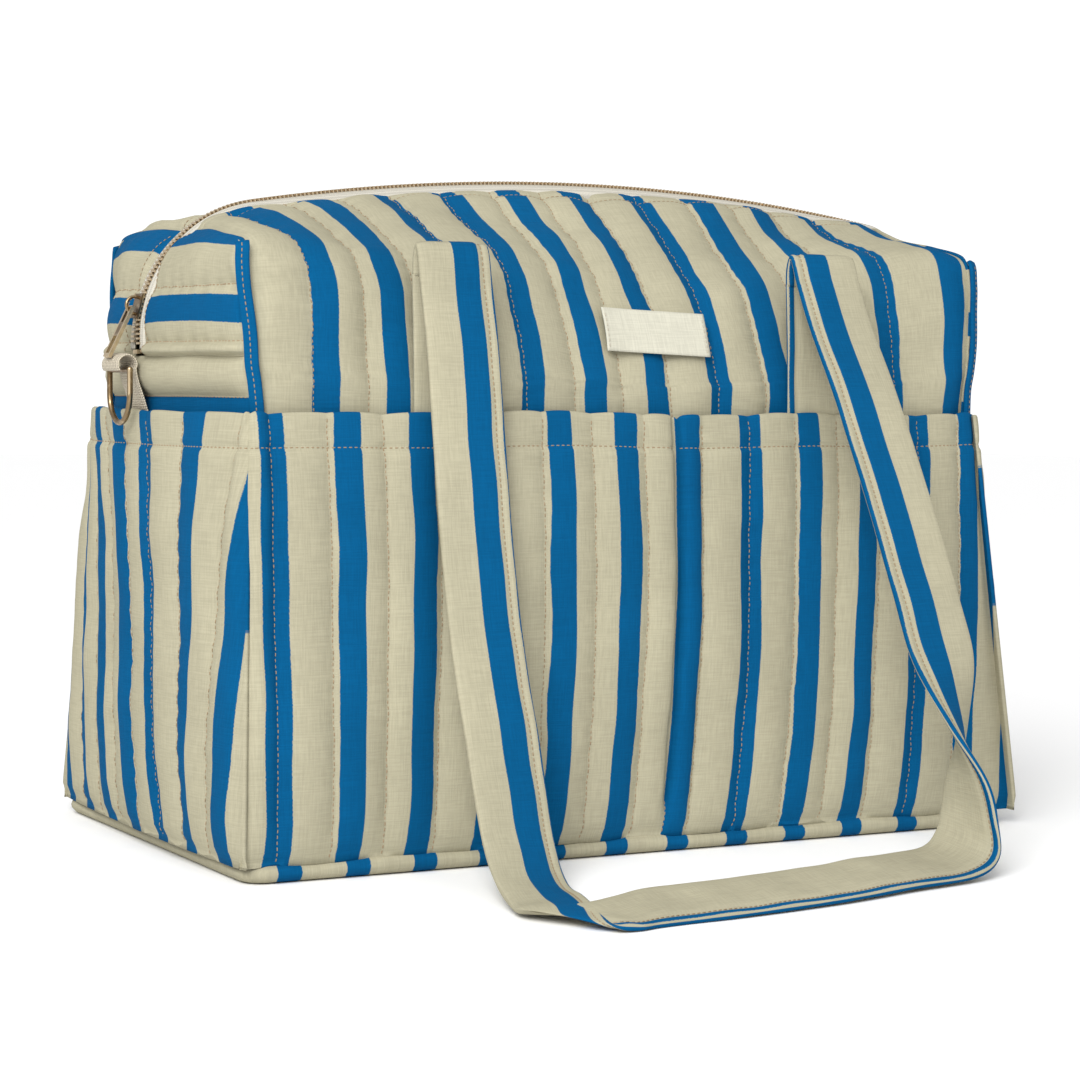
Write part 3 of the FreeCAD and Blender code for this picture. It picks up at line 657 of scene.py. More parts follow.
# Controls of sections across the front panel, from the base over the shoulder: (y, z) in mm at each x.
SECTIONS = {
    -216: (
        (-108.5, 9), (-109, 120), (-110, 228), (-110, 255), (-110.5, 282),
        (-110.5, 303), (-105, 316.5), (-72, 321), (-38, 323),
    ),
    -146: (
        (-108.5, 9), (-110, 120), (-112, 228), (-110.5, 253), (-107, 282),
        (-101, 303), (-88, 316), (-63, 326), (-38, 335),
    ),
    -69: (
        (-108.5, 9), (-110, 120), (-112, 228), (-109.5, 250), (-103.5, 272),
        (-94, 296), (-82, 313), (-60, 325.5), (-34, 337),
    ),
    20: (
        (-108.5, 9), (-110, 120), (-111, 228), (-108.5, 248), (-99, 268),
        (-88.5, 285), (-77, 302), (-60, 318), (-40, 332),
    ),
    86: (
        (-108.5, 9), (-110, 120), (-111, 228), (-108, 250), (-99.5, 270),
        (-89, 288), (-75, 306), (-58, 320), (-38, 333),
    ),
    150: (
        (-108.5, 9), (-109, 120), (-111, 228), (-108.5, 252), (-101.5, 276),
        (-93, 296), (-80, 312), (-60, 323), (-36, 333),
    ),
    216: (
        (-108.5, 9), (-109, 120), (-110, 228), (-110.5, 255), (-110, 282),
        (-108.5, 303), (-101, 319.5), (-74, 327), (-42, 332.5),
    ),
}
BACK_LEFT = (
    (-107, 9), (-107, 120), (-106, 228), (-105, 255), (-104.5, 282),
    (-104, 306), (-100, 325), (-72, 329), (-38, 327),
)
# x in millimetres of a panel's end edges at the same controls, with one more where it meets the zip.
EDGES = {
    ("left", -1): (-211, -211, -211, -213.5, -216.5, -219, -219, -214, -209.5, -206),
    ("left", 1): (-209, -209, -209, -209, -209, -209, -209, -208.5, -207.5, -206),
    ("right", -1): (214, 214, 217.5, 220, 221, 221, 220.5, 218.5, 218, 222),
    ("right", 1): (213, 213, 214, 215, 216, 216, 216, 216, 218, 222),
}
section_x = np.array(list(SECTIONS), float) / 1000


def fitted(rows):
    """Curves along x close to each control of the sections, moved in to the stitched lines."""
    places = np.array(rows, float) / 1000
    turn = unit(np.gradient(places, axis=1))
    places = places + PUFF_DEPTH * np.stack([turn[..., 1], -turn[..., 0]], axis=-1)
    return [[np.polyfit(section_x, column, 5) for column in control.T] for control in places.swapaxes(0, 1)]


FITS = {-1: fitted(list(SECTIONS.values())), 1: fitted([BACK_LEFT] + list(SECTIONS.values())[1:])}
PANEL_LINES = -0.17 + 0.77 * np.arange(13)
PANEL_CELLS = len(PANEL_LINES) + 1
BEND = len(FITS[1])     # the last control, at the zip


def spline(controls, w):
    """Catmull-Rom through controls on the last axis, at w counted in controls."""
    count = controls.shape[-1]
    i = np.clip(np.floor(w).astype(int), 0, count - 2)
    t = np.clip(w - i, -0.2, 1.2)
    near = [np.clip(i + step, 0, count - 1)[..., None] for step in (-1, 0, 1, 2)]
    return catmull_rom(*(np.take_along_axis(controls, j, -1)[..., 0] for j in near), t)


def upper_base(way):
    def base(q, v):
        w = v * BEND
        same = np.zeros(w.shape + (BEND + 1,))
        left, right = (spline(same + np.array(EDGES[end, way]) / 1000, w) for end in ("left", "right"))
        # The stripes spread a little from the base to the crown.
        fan = ease(w, 2.5, BEND) - 0.25 * (1 - ease(w, 0.0, 2.5))
        first, pitch, curve = -0.1747 - 0.0058 * fan, 0.0388 + 0.0005 * fan, 0.0001 * (1 - fan)
        lines = [left, *(first + pitch * k - curve * k * k for k in PANEL_LINES), right]
        x = between(q, np.stack(lines, axis=-1))
        # On the crown the zip's tapes slope down to the panel's edge, which lies further out and lower.
        end_y = -HALF_ZIP - 0.0042 * on_crown(x)
        end_z = zip_height(x) + 0.0004 - 0.0046 * on_crown(x)
        ys = np.stack([*(np.polyval(fit[0], x) for fit in FITS[way]), end_y], axis=-1)
        zs = np.stack([*(np.polyval(fit[1], x) for fit in FITS[way]), end_z], axis=-1)
        return np.stack([x, -way * spline(ys, w), spline(zs, w)], axis=-1)

    return base


def upper_lift(seed, count):
    def lift(q, v):
        w = v * BEND
        length, across = w * CONTROL_GAP, q * PANEL_CELL
        ends = np.minimum(ease(q, 0, 0.3), ease(-q, -count, -count + 0.3))
        close = 1 - ease(w, BEND - 0.35, BEND - 0.02)
        swell = puff(q) * 0.0030 * (0.35 + 0.65 * ease(w, 1.0, 3.0))
        wide = 0.0022 * ripple(across, length, 0.11, seed) + 0.0008 * ripple(across, length, 0.04, seed + 1)
        pulled = puckers(q, length, 0.0005, seed + 2)
        topstitch = 0.0012 * bell(w - BEND + TOPSTITCH, 0.05)
        cover = (swell + wide * ease(w, 1.2, 2.6) + pulled) * ends * (0.2 + 0.8 * close)
        return cover - topstitch - SEAM_DEPTH * (1 - ends)

    return lift


def upper_cloth(q, v):
    w = v * BEND
    counts = np.concatenate([[-0.79], PANEL_LINES, [10.29]])
    k = between(q, np.zeros(q.shape + (1,)) + counts)
    shift = 0.0022 * ease(w, BEND - TOPSTITCH - 0.04, BEND - TOPSTITCH + 0.04)
    s = k * PITCH + shift + 0.0006 * ripple(w * CONTROL_GAP, k * PITCH, 0.06, 8)
    return s, w * CONTROL_GAP, band(s)


def panel_edge(side, way, w):
    """Points of a front or back panel's end edge, as distances from the bag's middle, at places w."""
    return np.abs(upper_base(way)(np.full_like(w, 0.0 if side < 0 else PANEL_CELLS), w / BEND))


W_UPPER = (np.linspace(0, 1.9, 8), np.linspace(2.0, BEND - 0.4, 66), np.linspace(BEND - 0.36, BEND, 12))
V_UPPER = np.concatenate(W_UPPER) / BEND
for label, way in WAYS:
    count = PANEL_CELLS
    panel = Panel(upper_base(way), upper_lift(51 + way, count), -way)
    quilted(f"{label}_panel", 0.35, panel, columns(count), V_UPPER, PANEL_THICK, upper_cloth, False)
    runs = [row(panel, float(q), np.linspace(1.9 / BEND, 0.998, 160)) for q in range(1, count)]
    runs.append(row(panel, np.linspace(0.05, count - 0.05, 700), (BEND - TOPSTITCH) / BEND))
    sew_on(stitches(f"{label}_panel_stitching", runs), "cream_cotton")

# ---- end panels

SHOULDER = 5.8          # place on the panel's edge, in controls, where it turns from the upright to the top
END_UPPER_LINES = (0.2570, 0.2645, 0.2925)      # heights of the end's seam and two quilting lines
END_LOWER_LINES = (0.009, 0.040, 0.068, 0.096, 0.124, 0.152, 0.180, 0.208, 0.2365, 0.2575)
STRIPE_ACROSS = 0.0136      # width of a stripe that runs across an end
END_THICK = 0.0025
END_UPPER_LONG = 0.1        # about the length of an upper end piece across the end
END_LOWER_LONG = 0.21


def edge_at(z, edge, i):
    """Distance i, 0 along x and 1 along y, of a panel's edge at a height."""
    return np.interp(z, edge[:, 2], edge[:, i])


def end_upper_base(side, way):
    upright = panel_edge(side, way, np.linspace(2.5, SHOULDER, 60))
    top_edge = panel_edge(side, way, np.linspace(SHOULDER, BEND, 90))
    start = upright[-1, 1]
    finish = top_edge[-1, 1]

    def base(q, v):
        reach = start + (finish - start) * v
        top = np.interp(-reach, -top_edge[:, 1], top_edge[:, 2])
        z = between(q, np.stack([*(np.full_like(v, line) for line in END_UPPER_LINES), top], axis=-1))
        corner_x, corner_y = (edge_at(z, upright, i) for i in (0, 1))
        y = corner_y + (HALF_ZIP - corner_y) * v
        share = np.sin(np.clip(v, 0, 1) * math.pi / 2) ** 0.85
        x = corner_x + (zip_reach(side, z) - corner_x) * share
        seam_x = np.interp(-reach, -top_edge[:, 1], top_edge[:, 0])
        formed = upright[-1, 0] + (zip_reach(side, top) - upright[-1, 0]) * share
        x = x + (seam_x - formed) * ease(q, 2, 3)
        return np.stack([side * x, way * y, z], axis=-1)

    return base


def end_upper_lift(seed):
    def lift(q, v):
        ends = np.minimum(ease(q, 0, 0.3), ease(-q, -3, -2.75))
        close = ease(v, 0, 0.06) * (1 - ease(v, 0.93, 1.0))
        swell = puff(q, 2.0) * 0.0032
        length = v * END_UPPER_LONG
        wide = 0.0016 * ripple(q * PANEL_CELL, length, 0.07, seed) + puckers(q, length, 0.0006, seed)
        return (swell + wide) * ends * (0.15 + 0.85 * close) - SEAM_DEPTH * (1 - close)

    return lift


def end_upper_cloth(side, way):
    base = end_upper_base(side, way)

    def cloth(q, v):
        z = base(q, v)[..., 2]
        s = z - 0.2800 - 0.0015 * np.sin(3 * v)
        return s, v * END_UPPER_LONG, band(s, width=STRIPE_ACROSS)

    return cloth


def end_lower_base(side):
    front_edge, back_edge = (panel_edge(side, way, np.linspace(0, SHOULDER, 90)) for way in (-1, 1))

    def base(q, v):
        z = between(q, np.zeros(q.shape + (1,)) + np.array(END_LOWER_LINES))
        corner_x, corner_y = (
            np.where(v < 0.5, edge_at(z, front_edge, i), edge_at(z, back_edge, i)) for i in (0, 1)
        )
        y = (2 * v - 1) * corner_y
        middle = 0.2290 + 0.0048 * ease(z, 0.228, 0.250)
        x = corner_x + (middle - corner_x) * (1 - np.abs(2 * v - 1) ** 2.4)
        return np.stack([side * x, y, z], axis=-1)

    return base


def end_lower_lift(q, v):
    ends = ease(-q, -9, -8.8) * ease(q, 0, 0.4)
    close = ease(v, 0, 0.05) * (1 - ease(v, 0.95, 1))
    top = ease(q, 7.9, 8.1)
    wide = 0.0014 * ripple(q * PANEL_CELL, v * 0.2, 0.09, 77)
    return (puff(q, 2.0) * (0.002 + 0.0016 * top) + wide) * ends * close - 0.0006


def end_lower_cloth(q, v):
    z = end_lower_base(1)(q, v)[..., 2]
    s = z - 0.2297
    return s, v * END_LOWER_LONG, band(s, width=STRIPE_ACROSS)


for label, side in SIDES:
    panel = Panel(end_lower_base(side), end_lower_lift, -side)
    vs = np.linspace(0, 1, 64)
    quilted(f"{label}_end_lower", 0.3, panel, columns(9, 8), vs, END_THICK, end_lower_cloth, False)
    runs = [row(panel, 8.0, np.linspace(0.03, 0.97, 200))]
    for half, way in WAYS:
        panel = Panel(end_upper_base(side, way), end_upper_lift(90 + side + 2 * way), side * way)
        node, vs, cloth = f"{label}_end_upper_{half}", np.linspace(0, 1, 44), end_upper_cloth(side, way)
        quilted(node, 0.35, panel, columns(3, 16), vs, PANEL_THICK, cloth, False)
        runs += [row(panel, q, np.linspace(0.03, 0.98, 120)) for q in (1.0, 2.0)]
        runs.append(row(panel, np.linspace(0.02, 2.95, 120), 0.93))
    sew_on(stitches(f"{label}_end_stitching", runs), "cream_cotton")

# ---- base panel


def rounded_outline(half_x, half_y, radius, each=10):
    """Points round a rectangle with rounded corners, and the outward direction at each."""
    points, outs = [], []
    for turn, cx, cy in ((0, 1, 1), (90, -1, 1), (180, -1, -1), (270, 1, -1)):
        for a in np.radians(np.linspace(turn, turn + 90, each)):
            outs.append(np.array([math.cos(a), math.sin(a)]))
            points.append(np.array([cx * (half_x - radius), cy * (half_y - radius)]) + radius * outs[-1])
    path, out = [], []
    for a, b, out_a, out_b in zip(points, points[1:] + points[:1], outs, outs[1:] + outs[:1]):
        steps = max(1, int(np.linalg.norm(b - a) / 0.003))
        for j in range(steps):
            path.append(a + (b - a) * j / steps)
            out.append(out_a * (1 - j / steps) + out_b * j / steps)
    return np.array(path), unit(np.array(out))


path, out = rounded_outline(0.2285, 0.1365, 0.014)
# The rounded edge of the base, as distance outwards and height.
profile = [
    (-0.012, 0.0004), (-0.006, 0.0002), (-0.0025, 0.0012), (-0.0004, 0.0035), (0.0, 0.0055),
    (-0.0008, 0.0076), (-0.003, 0.0092), (-0.007, 0.0096), (-0.012, 0.0088),
]
wobble = 1 + 0.12 * ripple(path[:, 0], path[:, 1], 0.05, 21)
rings, dye = [], []
for inset, z in profile:
    flat = path + out * (inset + 0.0012 * (wobble - 1)[:, None])
    level = z * np.where(z > 0.003, wobble, 1.0)
    rings.append(np.column_stack([flat, level]))
    s = (flat[:, 0] + 0.2045) * PITCH / 0.0366
    dye.append(np.column_stack([s, flat[:, 1], band(s)]))
faces = tube_faces(len(profile), len(path))
obj = piece("base_panel_quilted", np.concatenate(rings), faces, STRIPED, np.concatenate(dye))
sew_on(obj, "quilted_cotton", "base_panel")

# ---- ribbons: bindings, straps, tabs


def ribbon(name, path, wide, size, material, marks, around, swell=None, face=None, mirrored=False):
    """A band along path, with its width along wide. marks(c, t, face) gives its cloth marks."""
    width, thick = size
    path, wide = np.asarray(path), np.asarray(wide)
    if face is None:
        ahead = unit(np.gradient(path, axis=0))
        wide = unit(wide - ahead * np.sum(wide * ahead, axis=1, keepdims=True))
        face = unit(np.cross(ahead, wide))
    gone = lengths(path)
    turn = np.linspace(0, math.tau, around, endpoint=False)
    cs = np.sign(np.cos(turn)) * np.abs(np.cos(turn)) ** 0.55
    ns = np.sign(np.sin(turn)) * np.abs(np.sin(turn)) ** 0.55
    points, dye = [], []
    for c, n in zip(cs, ns):
        across = np.full_like(gone, c * width / 2)
        rise = np.full_like(gone, n * thick / 2) * (1.0 if swell is None else swell(across, gone))
        points.append(path + wide * across[:, None] + face * rise[:, None])
        dye.append(np.stack(marks(across, gone, 1.0 if n > -0.01 else -1.0), axis=-1))
    faces = tube_faces(len(path), around, mirrored)
    obj = piece(name, np.stack(points, axis=1), faces, material, np.stack(dye, axis=1))
    return obj, (path, wide, face, gone)


def plain(c, t, face):
    return c, t, np.full_like(t, -1.0)


BINDING_SIZE = (0.0072, 0.0026)     # width and thickness
for end, side in SIDES:
    for half, way in WAYS:
        places = panel_edge(side, way, np.linspace(0, SHOULDER, 40)) * np.array([side, way, 1])
        path, _ = smooth_path(places, 110)
        lean = np.tile([0.83 * side, -0.55 * way, 0.0], (len(path), 1))
        path = path + np.array([side * 0.0004, way * 0.0010, 0])
        path[:, 0] += 0.0007 * ripple(path[:, 2], 0 * path[:, 2], 0.05, 61)
        name = f"{half}_{end}_corner_binding"
        obj, (line, _, face, _) = ribbon(name, path, lean, BINDING_SIZE, BINDING, plain, 14)
        sew_on(obj, "blue_binding", f"{half}_{end}_binding")
        out = face * np.sign(np.sum(face * np.array([side, way, 0]), axis=1, keepdims=True))
        run = (line + out * BINDING_SIZE[1] / 2, out)
        sew_on(stitches(f"{half}_{end}_binding_stitching", [run]), "cream_cotton")

# ---- straps

STRAP_SIZE = (0.040, 0.0050)        # width and thickness
SEWN_END_SIZE = (0.040, 0.0042)
STRAP_LEFT, STRAP_RIGHT = -109, 114     # x in millimetres of a strap's two ends
# Along the front strap, from one fold at the shoulder down to the floor and up to the other, in millimetres:
# its middle, the direction across it and the way its outer face looks.
LOOP = [
    ((STRAP_LEFT, -112.8, 298), (1, 0, 0), (0, 1, 0)),
    ((STRAP_LEFT, -113.0, 307), (1, 0, 0), (0, 1, 0.1)),
    ((STRAP_LEFT, -115.6, 313.6), (1, 0, 0), (0, 0, 1)),
    ((STRAP_LEFT, -118.4, 308), (1, 0, 0), (0, -1, 0.2)),
    ((-108.6, -120.2, 296), (1, 0, 0), (0, -1, 0.12)),
    ((-107, -124.5, 265), (1, 0, 0), (0, -1, 0.12)),
    ((-106, -132, 215), (1, 0, 0), (0, -1, 0.15)),
    ((-107, -153, 120), (1, 0, 0), (0, -1, 0.28)),
    ((-106, -173, 60), (1, 0, 0), (0, -0.9, 0.45)),
    ((-111, -198, 23), (1, 0.05, -0.08), (0, -0.6, 0.8)),
    ((-120, -228, 8.5), (0.96, 0, -0.1), (0, -0.3, 1)),
    ((-127, -256, 5), (0.88, -0.12, 0.06), (-0.1, -0.05, 1)),
    ((-132, -276, 5), (0.75, -0.45, 0.04), (-0.35, -0.35, 0.85)),
    ((-133, -293, 4.6), (0.5, -0.95, -0.04), (-0.87, -0.48, 0.1)),
    ((-116, -296, 4), (0.2, -1, -0.1), (-0.15, -0.05, -1)),
    ((-100, -293, 4.6), (0.05, -1, -0.15), (0, 0.15, -1)),
    ((-82, -291, 5.5), (0, -1, -0.2), (0, 0.2, -1)),
    ((-46, -289, 6), (0.02, -1, -0.2), (0, 0.2, -1)),
    ((10, -281, 6.5), (0.05, -1, -0.2), (0, 0.2, -1)),
    ((55, -270, 7), (0.08, -1, -0.2), (0, 0.2, -1)),
    ((96, -262, 7.6), (0.2, -0.97, -0.2), (0.25, 0.25, -0.95)),
    ((112, -257, 15), (0.3, -0.93, -0.2), (0.65, 0.4, -0.65)),
    ((117, -252, 30), (0.1, -1, -0.1), (0.95, 0.1, -0.25)),
    ((117.5, -248, 48), (-0.15, -0.99, 0.05), (0.98, -0.15, 0)),
    ((118, -239, 74), (-0.75, -0.66, 0.1), (0.66, -0.75, 0.1)),
    ((118.5, -226, 105), (-1, -0.1, 0), (0.1, -0.97, 0.25)),
    ((117, -212, 138), (-1, 0, 0), (0, -0.95, 0.3)),
    ((113, -195, 181), (-1, 0, 0), (0, -0.9, 0.4)),
    ((STRAP_RIGHT, -161, 237), (-1, 0, 0), (0, -0.88, 0.47)),
    ((STRAP_RIGHT, -136, 275), (-1, 0, 0), (0, -0.88, 0.47)),
    ((STRAP_RIGHT, -123, 299), (-1, 0, 0), (0, -0.93, 0.35)),
    ((STRAP_RIGHT, -119.2, 308.5), (-1, 0, 0), (0, -0.9, 0.4)),
    ((STRAP_RIGHT, -115.8, 313.6), (-1, 0, 0), (0, 0, 1)),
    ((STRAP_RIGHT, -113.0, 307), (-1, 0, 0), (0, 1, 0.1)),
    ((STRAP_RIGHT, -112.8, 298), (-1, 0, 0), (0, 1, 0)),
]


def strap_marks(c, t, face):
    """Stripes across a strap: a wide blue one and a thin edge on its outer face, and a thin one inside."""
    s = c + 0.0004 * ripple(t, 0 * t, 0.04, 13)
    if face > 0:
        inside = np.maximum(0.0070 - np.abs(s - 0.0054), s - 0.0188)
    else:
        inside = 0.0016 - np.abs(s - 0.0176)
    return s, t, inside


# Up a sewn end, in millimetres: z and y.
SEWN_END = ((172, -113.0), (210, -113.8), (240, -114.2), (265, -114.0), (285, -113.4), (299, -112.8))
STITCH_ROWS = (-0.0038, 0.0150)     # places of the two rows across a strap


def strap_swell(across, gone):
    """Thinner along the rows of stitching and at the edges, with small puckers."""
    rows = sum(0.45 * bell(across - row_at, 0.0016) for row_at in STITCH_ROWS)
    return 1 - rows + 0.14 * ripple(gone, across + 0 * gone, 0.028, 17)


def strap_piece(rows, count):
    """Middle, width direction and outer face along a strap, evenly spaced."""
    table = [tuple(np.array(place) / 1000) + wide + out for place, wide, out in rows]
    line, long = smooth_path(table, count)
    gone = np.linspace(0, long, count)
    path = line[:, :3].copy()
    path[:, 0] += 0.0006 * ripple(gone, 0 * gone, 0.14, 19)
    return path, line[:, 3:6], unit(line[:, 6:])


def strap_ribbon(name, rows, count, size, flip, mirrored):
    path, wide, out = (part * flip for part in strap_piece(rows, count))
    return ribbon(name, path, wide, size, STRIPED, strap_marks, 56, strap_swell, out, mirrored)


for label, side in WAYS:
    flip = np.array([1, -side, 1])
    name = f"{label}_strap_padded"
    obj, (line, across, face, gone) = strap_ribbon(name, LOOP, 520, STRAP_SIZE, flip, side > 0)
    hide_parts(f"{label}_strap_loop")
    runs = []
    for at in STITCH_ROWS:
        for over in (-1, 1):
            lift = over * (STRAP_SIZE[1] / 2 * strap_swell(at, gone) + 0.0001)
            runs.append((line + across * at + face * lift[:, None], face * over))
    sewing = stitches(f"{label}_strap_stitching", runs)
    for item in (obj, sewing):
        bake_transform(item)
    for end, x, turn in (("left", STRAP_LEFT, 1), ("right", STRAP_RIGHT, -1)):
        rows = [((x, y, z), (turn, 0, 0), (0, 1, 0)) for z, y in SEWN_END]
        name = f"{label}_strap_{end}_sewn_end"
        obj, _ = strap_ribbon(name, rows, 60, SEWN_END_SIZE, flip, (side > 0) == (turn > 0))
        sew_on(obj, "quilted_cotton", f"{label}_strap_{end}_end")

# ---- zip

SLIDER_AT = float(np.interp(0.2829, ZIP[:BEND_POINTS, 1], ZIP_GONE[:BEND_POINTS]))


def spread(gone):
    """How far the two rows part below the slider."""
    return 0.0030 * (1 - ease(gone, 0.0, SLIDER_AT - 0.003)) ** 0.8


TAPE_INNER = 0.0016     # the tape's inner edge from the middle of the zip
# Across a tape and back, from its inner edge: distance from the middle of the zip, and height over it.
TAPE_PROFILE = (
    (TAPE_INNER, 0.0004), (0.0040, 0.0007), (0.0064, 0.0010), (0.0082, 0.0002), (0.0098, -0.0022),
    (0.0096, -0.0030), (0.0080, -0.0008), (0.0064, 0.0), (0.0040, -0.0003), (TAPE_INNER, -0.0005),
)
# Along a tooth, from its tip in the middle of the zip: distance from the middle, width and height.
TOOTH_PROFILE = (
    (-0.0010, 0.62, 0.85), (-0.0005, 0.66, 1.0), (0.0014, 0.48, 0.9),
    (0.0032, 0.6, 1.0), (0.0037, 0.52, 0.8),
)
TOOTH_WIDE, TOOTH_TALL = 0.0009, 0.0014
TOOTH_STEP = 0.0024


def zip_tape(label, side):
    gone = np.linspace(0.0, ZIP_LONG, 500)
    middle, _, out = zip_at(gone)
    slope = on_crown(middle[:, 0]) * ease(gone, 0.05, 0.12) * ease(ZIP_LONG - gone, 0.05, 0.12)
    points, dye = [], []
    for y, rise in TAPE_PROFILE:
        crown = slope * (y - TAPE_INNER) / 0.008
        ys = side * (y + 0.0046 * crown + spread(gone) * (1 - y / 0.011))
        points.append(middle + out * (rise - 0.0050 * crown)[:, None] + np.array([0, 1, 0]) * ys[:, None])
        dye.append(np.stack([np.full_like(gone, y), gone, np.full_like(gone, -1.0)], axis=-1))
    faces = tube_faces(len(gone), len(TAPE_PROFILE), side < 0)
    name = f"zip_tape_{label}_cotton"
    obj = piece(name, np.stack(points, axis=1), faces, TAPE, np.stack(dye, axis=1))
    sew_on(obj, "cream_cotton", f"zip_tape_{label}")


def zip_teeth(label, side):
    at = np.arange(0.003 + (TOOTH_STEP / 2 if side > 0 else 0.0), ZIP_LONG - 0.003, TOOTH_STEP)
    points, faces = [], []
    pattern = tube_faces(len(TOOTH_PROFILE), 4, side > 0)
    for c, a, o, apart in zip(*zip_at(at), spread(at)):
        first = len(points)
        for y, wide, tall in TOOTH_PROFILE:
            for i, j in ((-1, -1), (1, -1), (1, 1), (-1, 1)):
                place = c + np.array([0, side * (y + apart), 0])
                points.append(place + a * i * wide * TOOTH_WIDE + o * (j * tall * TOOTH_TALL + 0.0003))
        faces += [tuple(first + n for n in face) for face in pattern]
    obj = piece(f"zip_teeth_{label}_brass", points, faces, TEETH, smooth=False)
    sew_on(obj, "antique_brass", f"zip_teeth_{label}")


for label, side in WAYS:
    zip_tape(label, side)
    zip_teeth(label, side)

# ---- webbing tabs

TAB_SIZE = (0.025, 0.0019)      # width and thickness
TAB_FOOT = ((0.2300, 0.200), (0.2312, 0.222), (0.2342, 0.234), (0.2376, 0.2440))     # x and z, going up
RING_BAR = (0.2435, 0.2528)     # x and z of the middle of the fold round the ring's bar
FOLD_RADIUS = 0.0051
for label, side in SIDES:
    rows = [(side * x, 0, z) for x, z in TAB_FOOT]
    for a in np.radians(np.arange(-28, 236, 22)):
        x, z = RING_BAR[0] - FOLD_RADIUS * math.cos(a), RING_BAR[1] + FOLD_RADIUS * math.sin(a)
        rows.append((side * x, 0, z))
    path, _ = smooth_path(rows, 150)
    wide = np.tile([0, 1.0, 0], (len(path), 1))
    obj, _ = ribbon(f"{label}_tab_webbing", path, wide, TAB_SIZE, WEBBING, plain, 20)
    sew_on(obj, "cream_cotton", f"{label}_tab")

# ---- label

LABEL_SIZE = (0.062, 0.023)
LABEL_AT = (0.0185, 0.2725)     # x and z of its middle
LABEL_TILT = math.radians(-2.5)
LABEL_PROUD = 0.0012


def label_depth(x, z, u, v):
    """y of the label, by a smooth fit to the quilted panel under it."""
    q, w = np.meshgrid(np.linspace(5.5, 9.5, 90), np.linspace(3.0, 5.6, 70), indexing="ij")
    under = Panel(upper_base(-1), upper_lift(50, PANEL_CELLS), 1).point(q, w / BEND).reshape(-1, 3)
    gaps = (under[:, 0] - x.reshape(-1, 1)) ** 2 + (under[:, 2] - z.reshape(-1, 1)) ** 2
    nearest = np.where(gaps < 0.008**2, under[:, 1], 1.0).min(axis=1)
    terms = np.stack([u.ravel() ** i * v.ravel() ** j for i in range(4) for j in range(3)], axis=1)
    weights = np.linalg.lstsq(terms, nearest, rcond=None)[0]
    return np.polynomial.polynomial.polyval2d(u, v, weights.reshape(4, 3)) - LABEL_PROUD


u, v = np.meshgrid(np.linspace(-0.5, 0.5, 40), np.linspace(-0.5, 0.5, 16), indexing="ij")
along, up = LABEL_SIZE[0] * u, LABEL_SIZE[1] * v
x = LABEL_AT[0] + along * math.cos(LABEL_TILT) - up * math.sin(LABEL_TILT)
z = LABEL_AT[1] + along * math.sin(LABEL_TILT) + up * math.cos(LABEL_TILT)
front = np.stack([x, label_depth(x, z, u, v), z], axis=-1)
marks = np.stack([x, z, np.full_like(x, -1)], axis=-1)
obj = plate("label_cotton", front, front + np.array([0, 0.0006, -0.0002]), LABEL, marks)
sew_on(obj, "cream_cotton", "label")
runs = []
for line in (front[1, 1:-1], front[-2, 1:-1]):
    runs.append((line - np.array([0, 0.0002, 0]), np.tile([0, -1.0, 0], (len(line), 1))))
sew_on(stitches("label_stitching", runs, PALE_THREAD), "cream_cotton")

# ---- lining


LINING_WIDE, LINING_DEEP = 0.400, 0.196     # along x and along y


def lining_sheet(label, corner, side_u, side_v, out):
    """A flat sheet of lining, slightly uneven, from a corner along two sides."""
    corner, side_u, side_v, out = (np.array(a, float) for a in (corner, side_u, side_v, out))
    u, v = np.meshgrid(np.linspace(0, 1, 34), np.linspace(0, 1, 24), indexing="ij")
    edge = np.minimum(np.minimum(u, 1 - u), np.minimum(v, 1 - v))
    wide, tall = np.linalg.norm(side_u), np.linalg.norm(side_v)
    sag = 0.0018 * ripple(u * wide, v * tall, 0.09, 71) * ease(edge, 0, 0.08)
    face = corner + u[..., None] * side_u + v[..., None] * side_v + out * sag[..., None]
    marks = np.stack([u * wide, v * tall, np.full_like(u, -1)], axis=-1)
    obj = plate(f"{label}_lining_cotton", face, face - out * 0.0006, LINING, marks)
    sew_on(obj, "lining_cotton", f"{label}_lining")


for label, way in WAYS:
    corner = (way * LINING_WIDE / 2, way * 0.1015, 0.011)
    across, up = (-way * LINING_WIDE, 0, 0), (0, -way * 0.014, 0.2576)
    lining_sheet(label, corner, across, up, (0, -way, 0))
for label, side in SIDES:
    corner = (side * 0.204, side * LINING_DEEP / 2, 0.011)
    across, up = (0, -side * LINING_DEEP, 0), (0, 0, 0.236)
    lining_sheet(label, corner, across, up, (-side, 0, 0))
corner = (-LINING_WIDE / 2, -LINING_DEEP / 2, 0.0115)
lining_sheet("base", corner, (LINING_WIDE, 0, 0), (0, LINING_DEEP, 0), (0, 0, 1))

# ---- metal

for node in ("zip_slider", "zip_puller", "left_d_ring", "right_d_ring", "zip_stops"):
    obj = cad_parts[node]
    for place in obj.material_slots:
        place.material = BRASS

# ---- floor, lights and camera

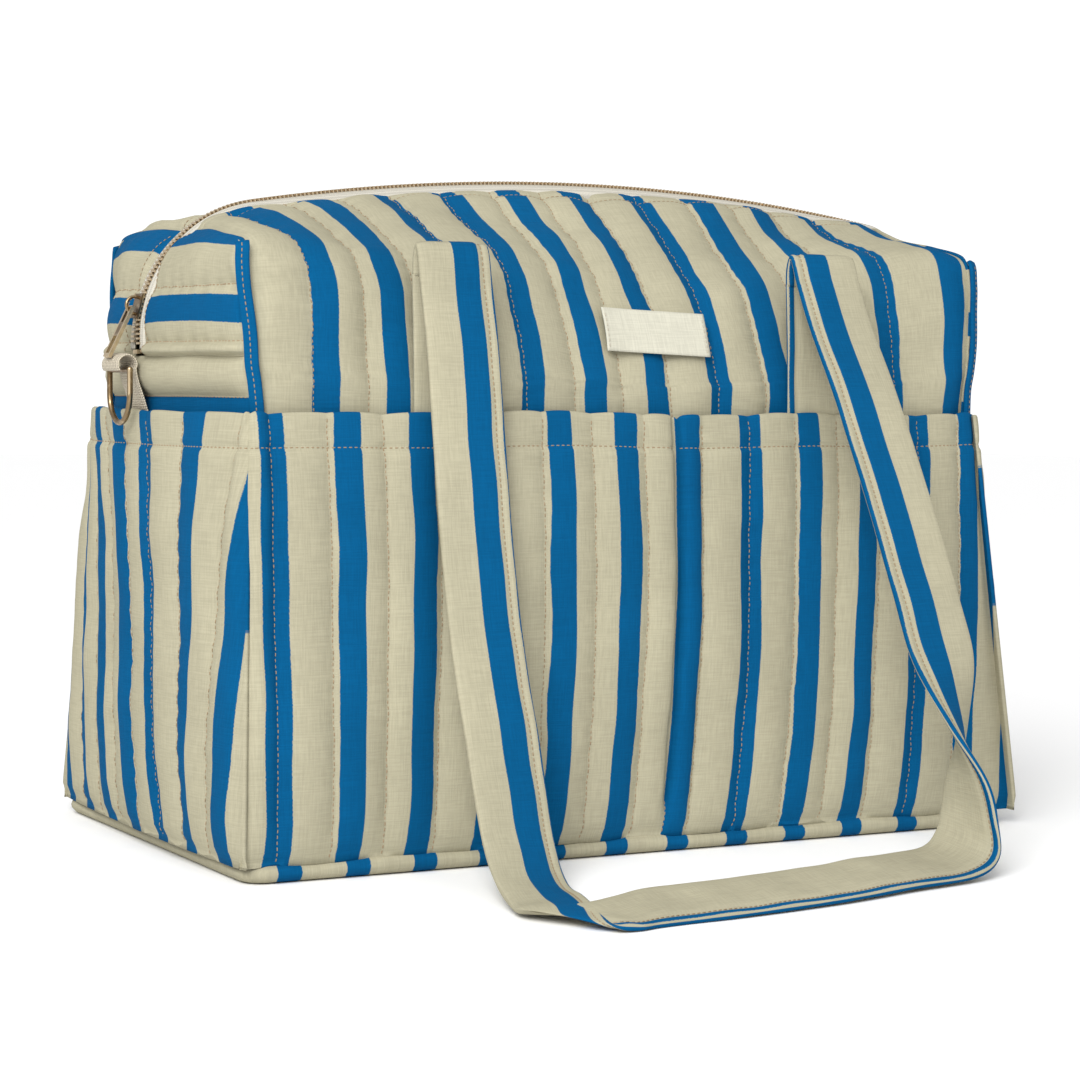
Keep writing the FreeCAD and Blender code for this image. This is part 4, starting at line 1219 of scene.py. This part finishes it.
mesh = bpy.data.meshes.new("floor")
mesh.from_pydata([(-6, -4, 0), (6, -4, 0), (6, 8, 0), (-6, 8, 0)], [], [(0, 1, 2, 3)])
floor = link("floor", mesh)
paper = Nodes("floor_paper", 0.9)
paper.shader.inputs["Base Color"].default_value = (0.93, 0.93, 0.93, 1)
paper.shader.inputs["Specular IOR Level"].default_value = 0.1
mesh.materials.append(paper.material)

world = bpy.data.worlds.new("studio")
world.use_nodes = True
sky = world.node_tree
seen = sky.nodes.new("ShaderNodeLightPath").outputs["Is Camera Ray"]
glow = sky.nodes.new("ShaderNodeMapRange")
glow.inputs["To Min"].default_value = 0.76
glow.inputs["To Max"].default_value = 1.10
sky.links.new(seen, glow.inputs["Value"])
sky.nodes["Background"].inputs[0].default_value = (1, 1, 1, 1)
sky.links.new(glow.outputs[0], sky.nodes["Background"].inputs[1])
bpy.context.scene.world = world


def lamp(name, kind, energy, place, target):
    data = bpy.data.lights.new(name, kind)
    data.energy = energy
    obj = link(name, data)
    obj.location = place
    obj.rotation_euler = (Vector(target) - Vector(place)).to_track_quat("-Z", "Y").to_euler()
    return data


key = lamp("key", "AREA", 17, (-1.05, -1.3, 0.95), (-0.1, 0, 0.15))
key.shape = "SQUARE"
key.size = 0.8
lamp("soft_sun", "SUN", 1.5, (0, 0, 0), (0.55, 0.5, -0.67)).angle = math.radians(40)

YAW, DOWN, ROLL = (math.radians(a) for a in (28.017, 3.105, 0.433))
CAMERA_AT = (-0.7324, -1.3847, 0.2421)
forward = Vector((math.sin(YAW) * math.cos(DOWN), math.cos(YAW) * math.cos(DOWN), -math.sin(DOWN)))
right = Vector((math.cos(YAW), -math.sin(YAW), 0))
above = right.cross(forward)
rolled_right = right * math.cos(ROLL) + above * math.sin(ROLL)
rolled_up = above * math.cos(ROLL) - right * math.sin(ROLL)
lens = bpy.data.cameras.new("camera")
lens.lens = 93.06
lens.sensor_width = 36
camera = link("camera", lens)
turned = Matrix((rolled_right, rolled_up, -forward)).transposed()
camera.matrix_world = Matrix.Translation(CAMERA_AT) @ turned.to_4x4()
bpy.context.scene.camera = camera
bpy.context.scene.view_settings.view_transform = "Standard"
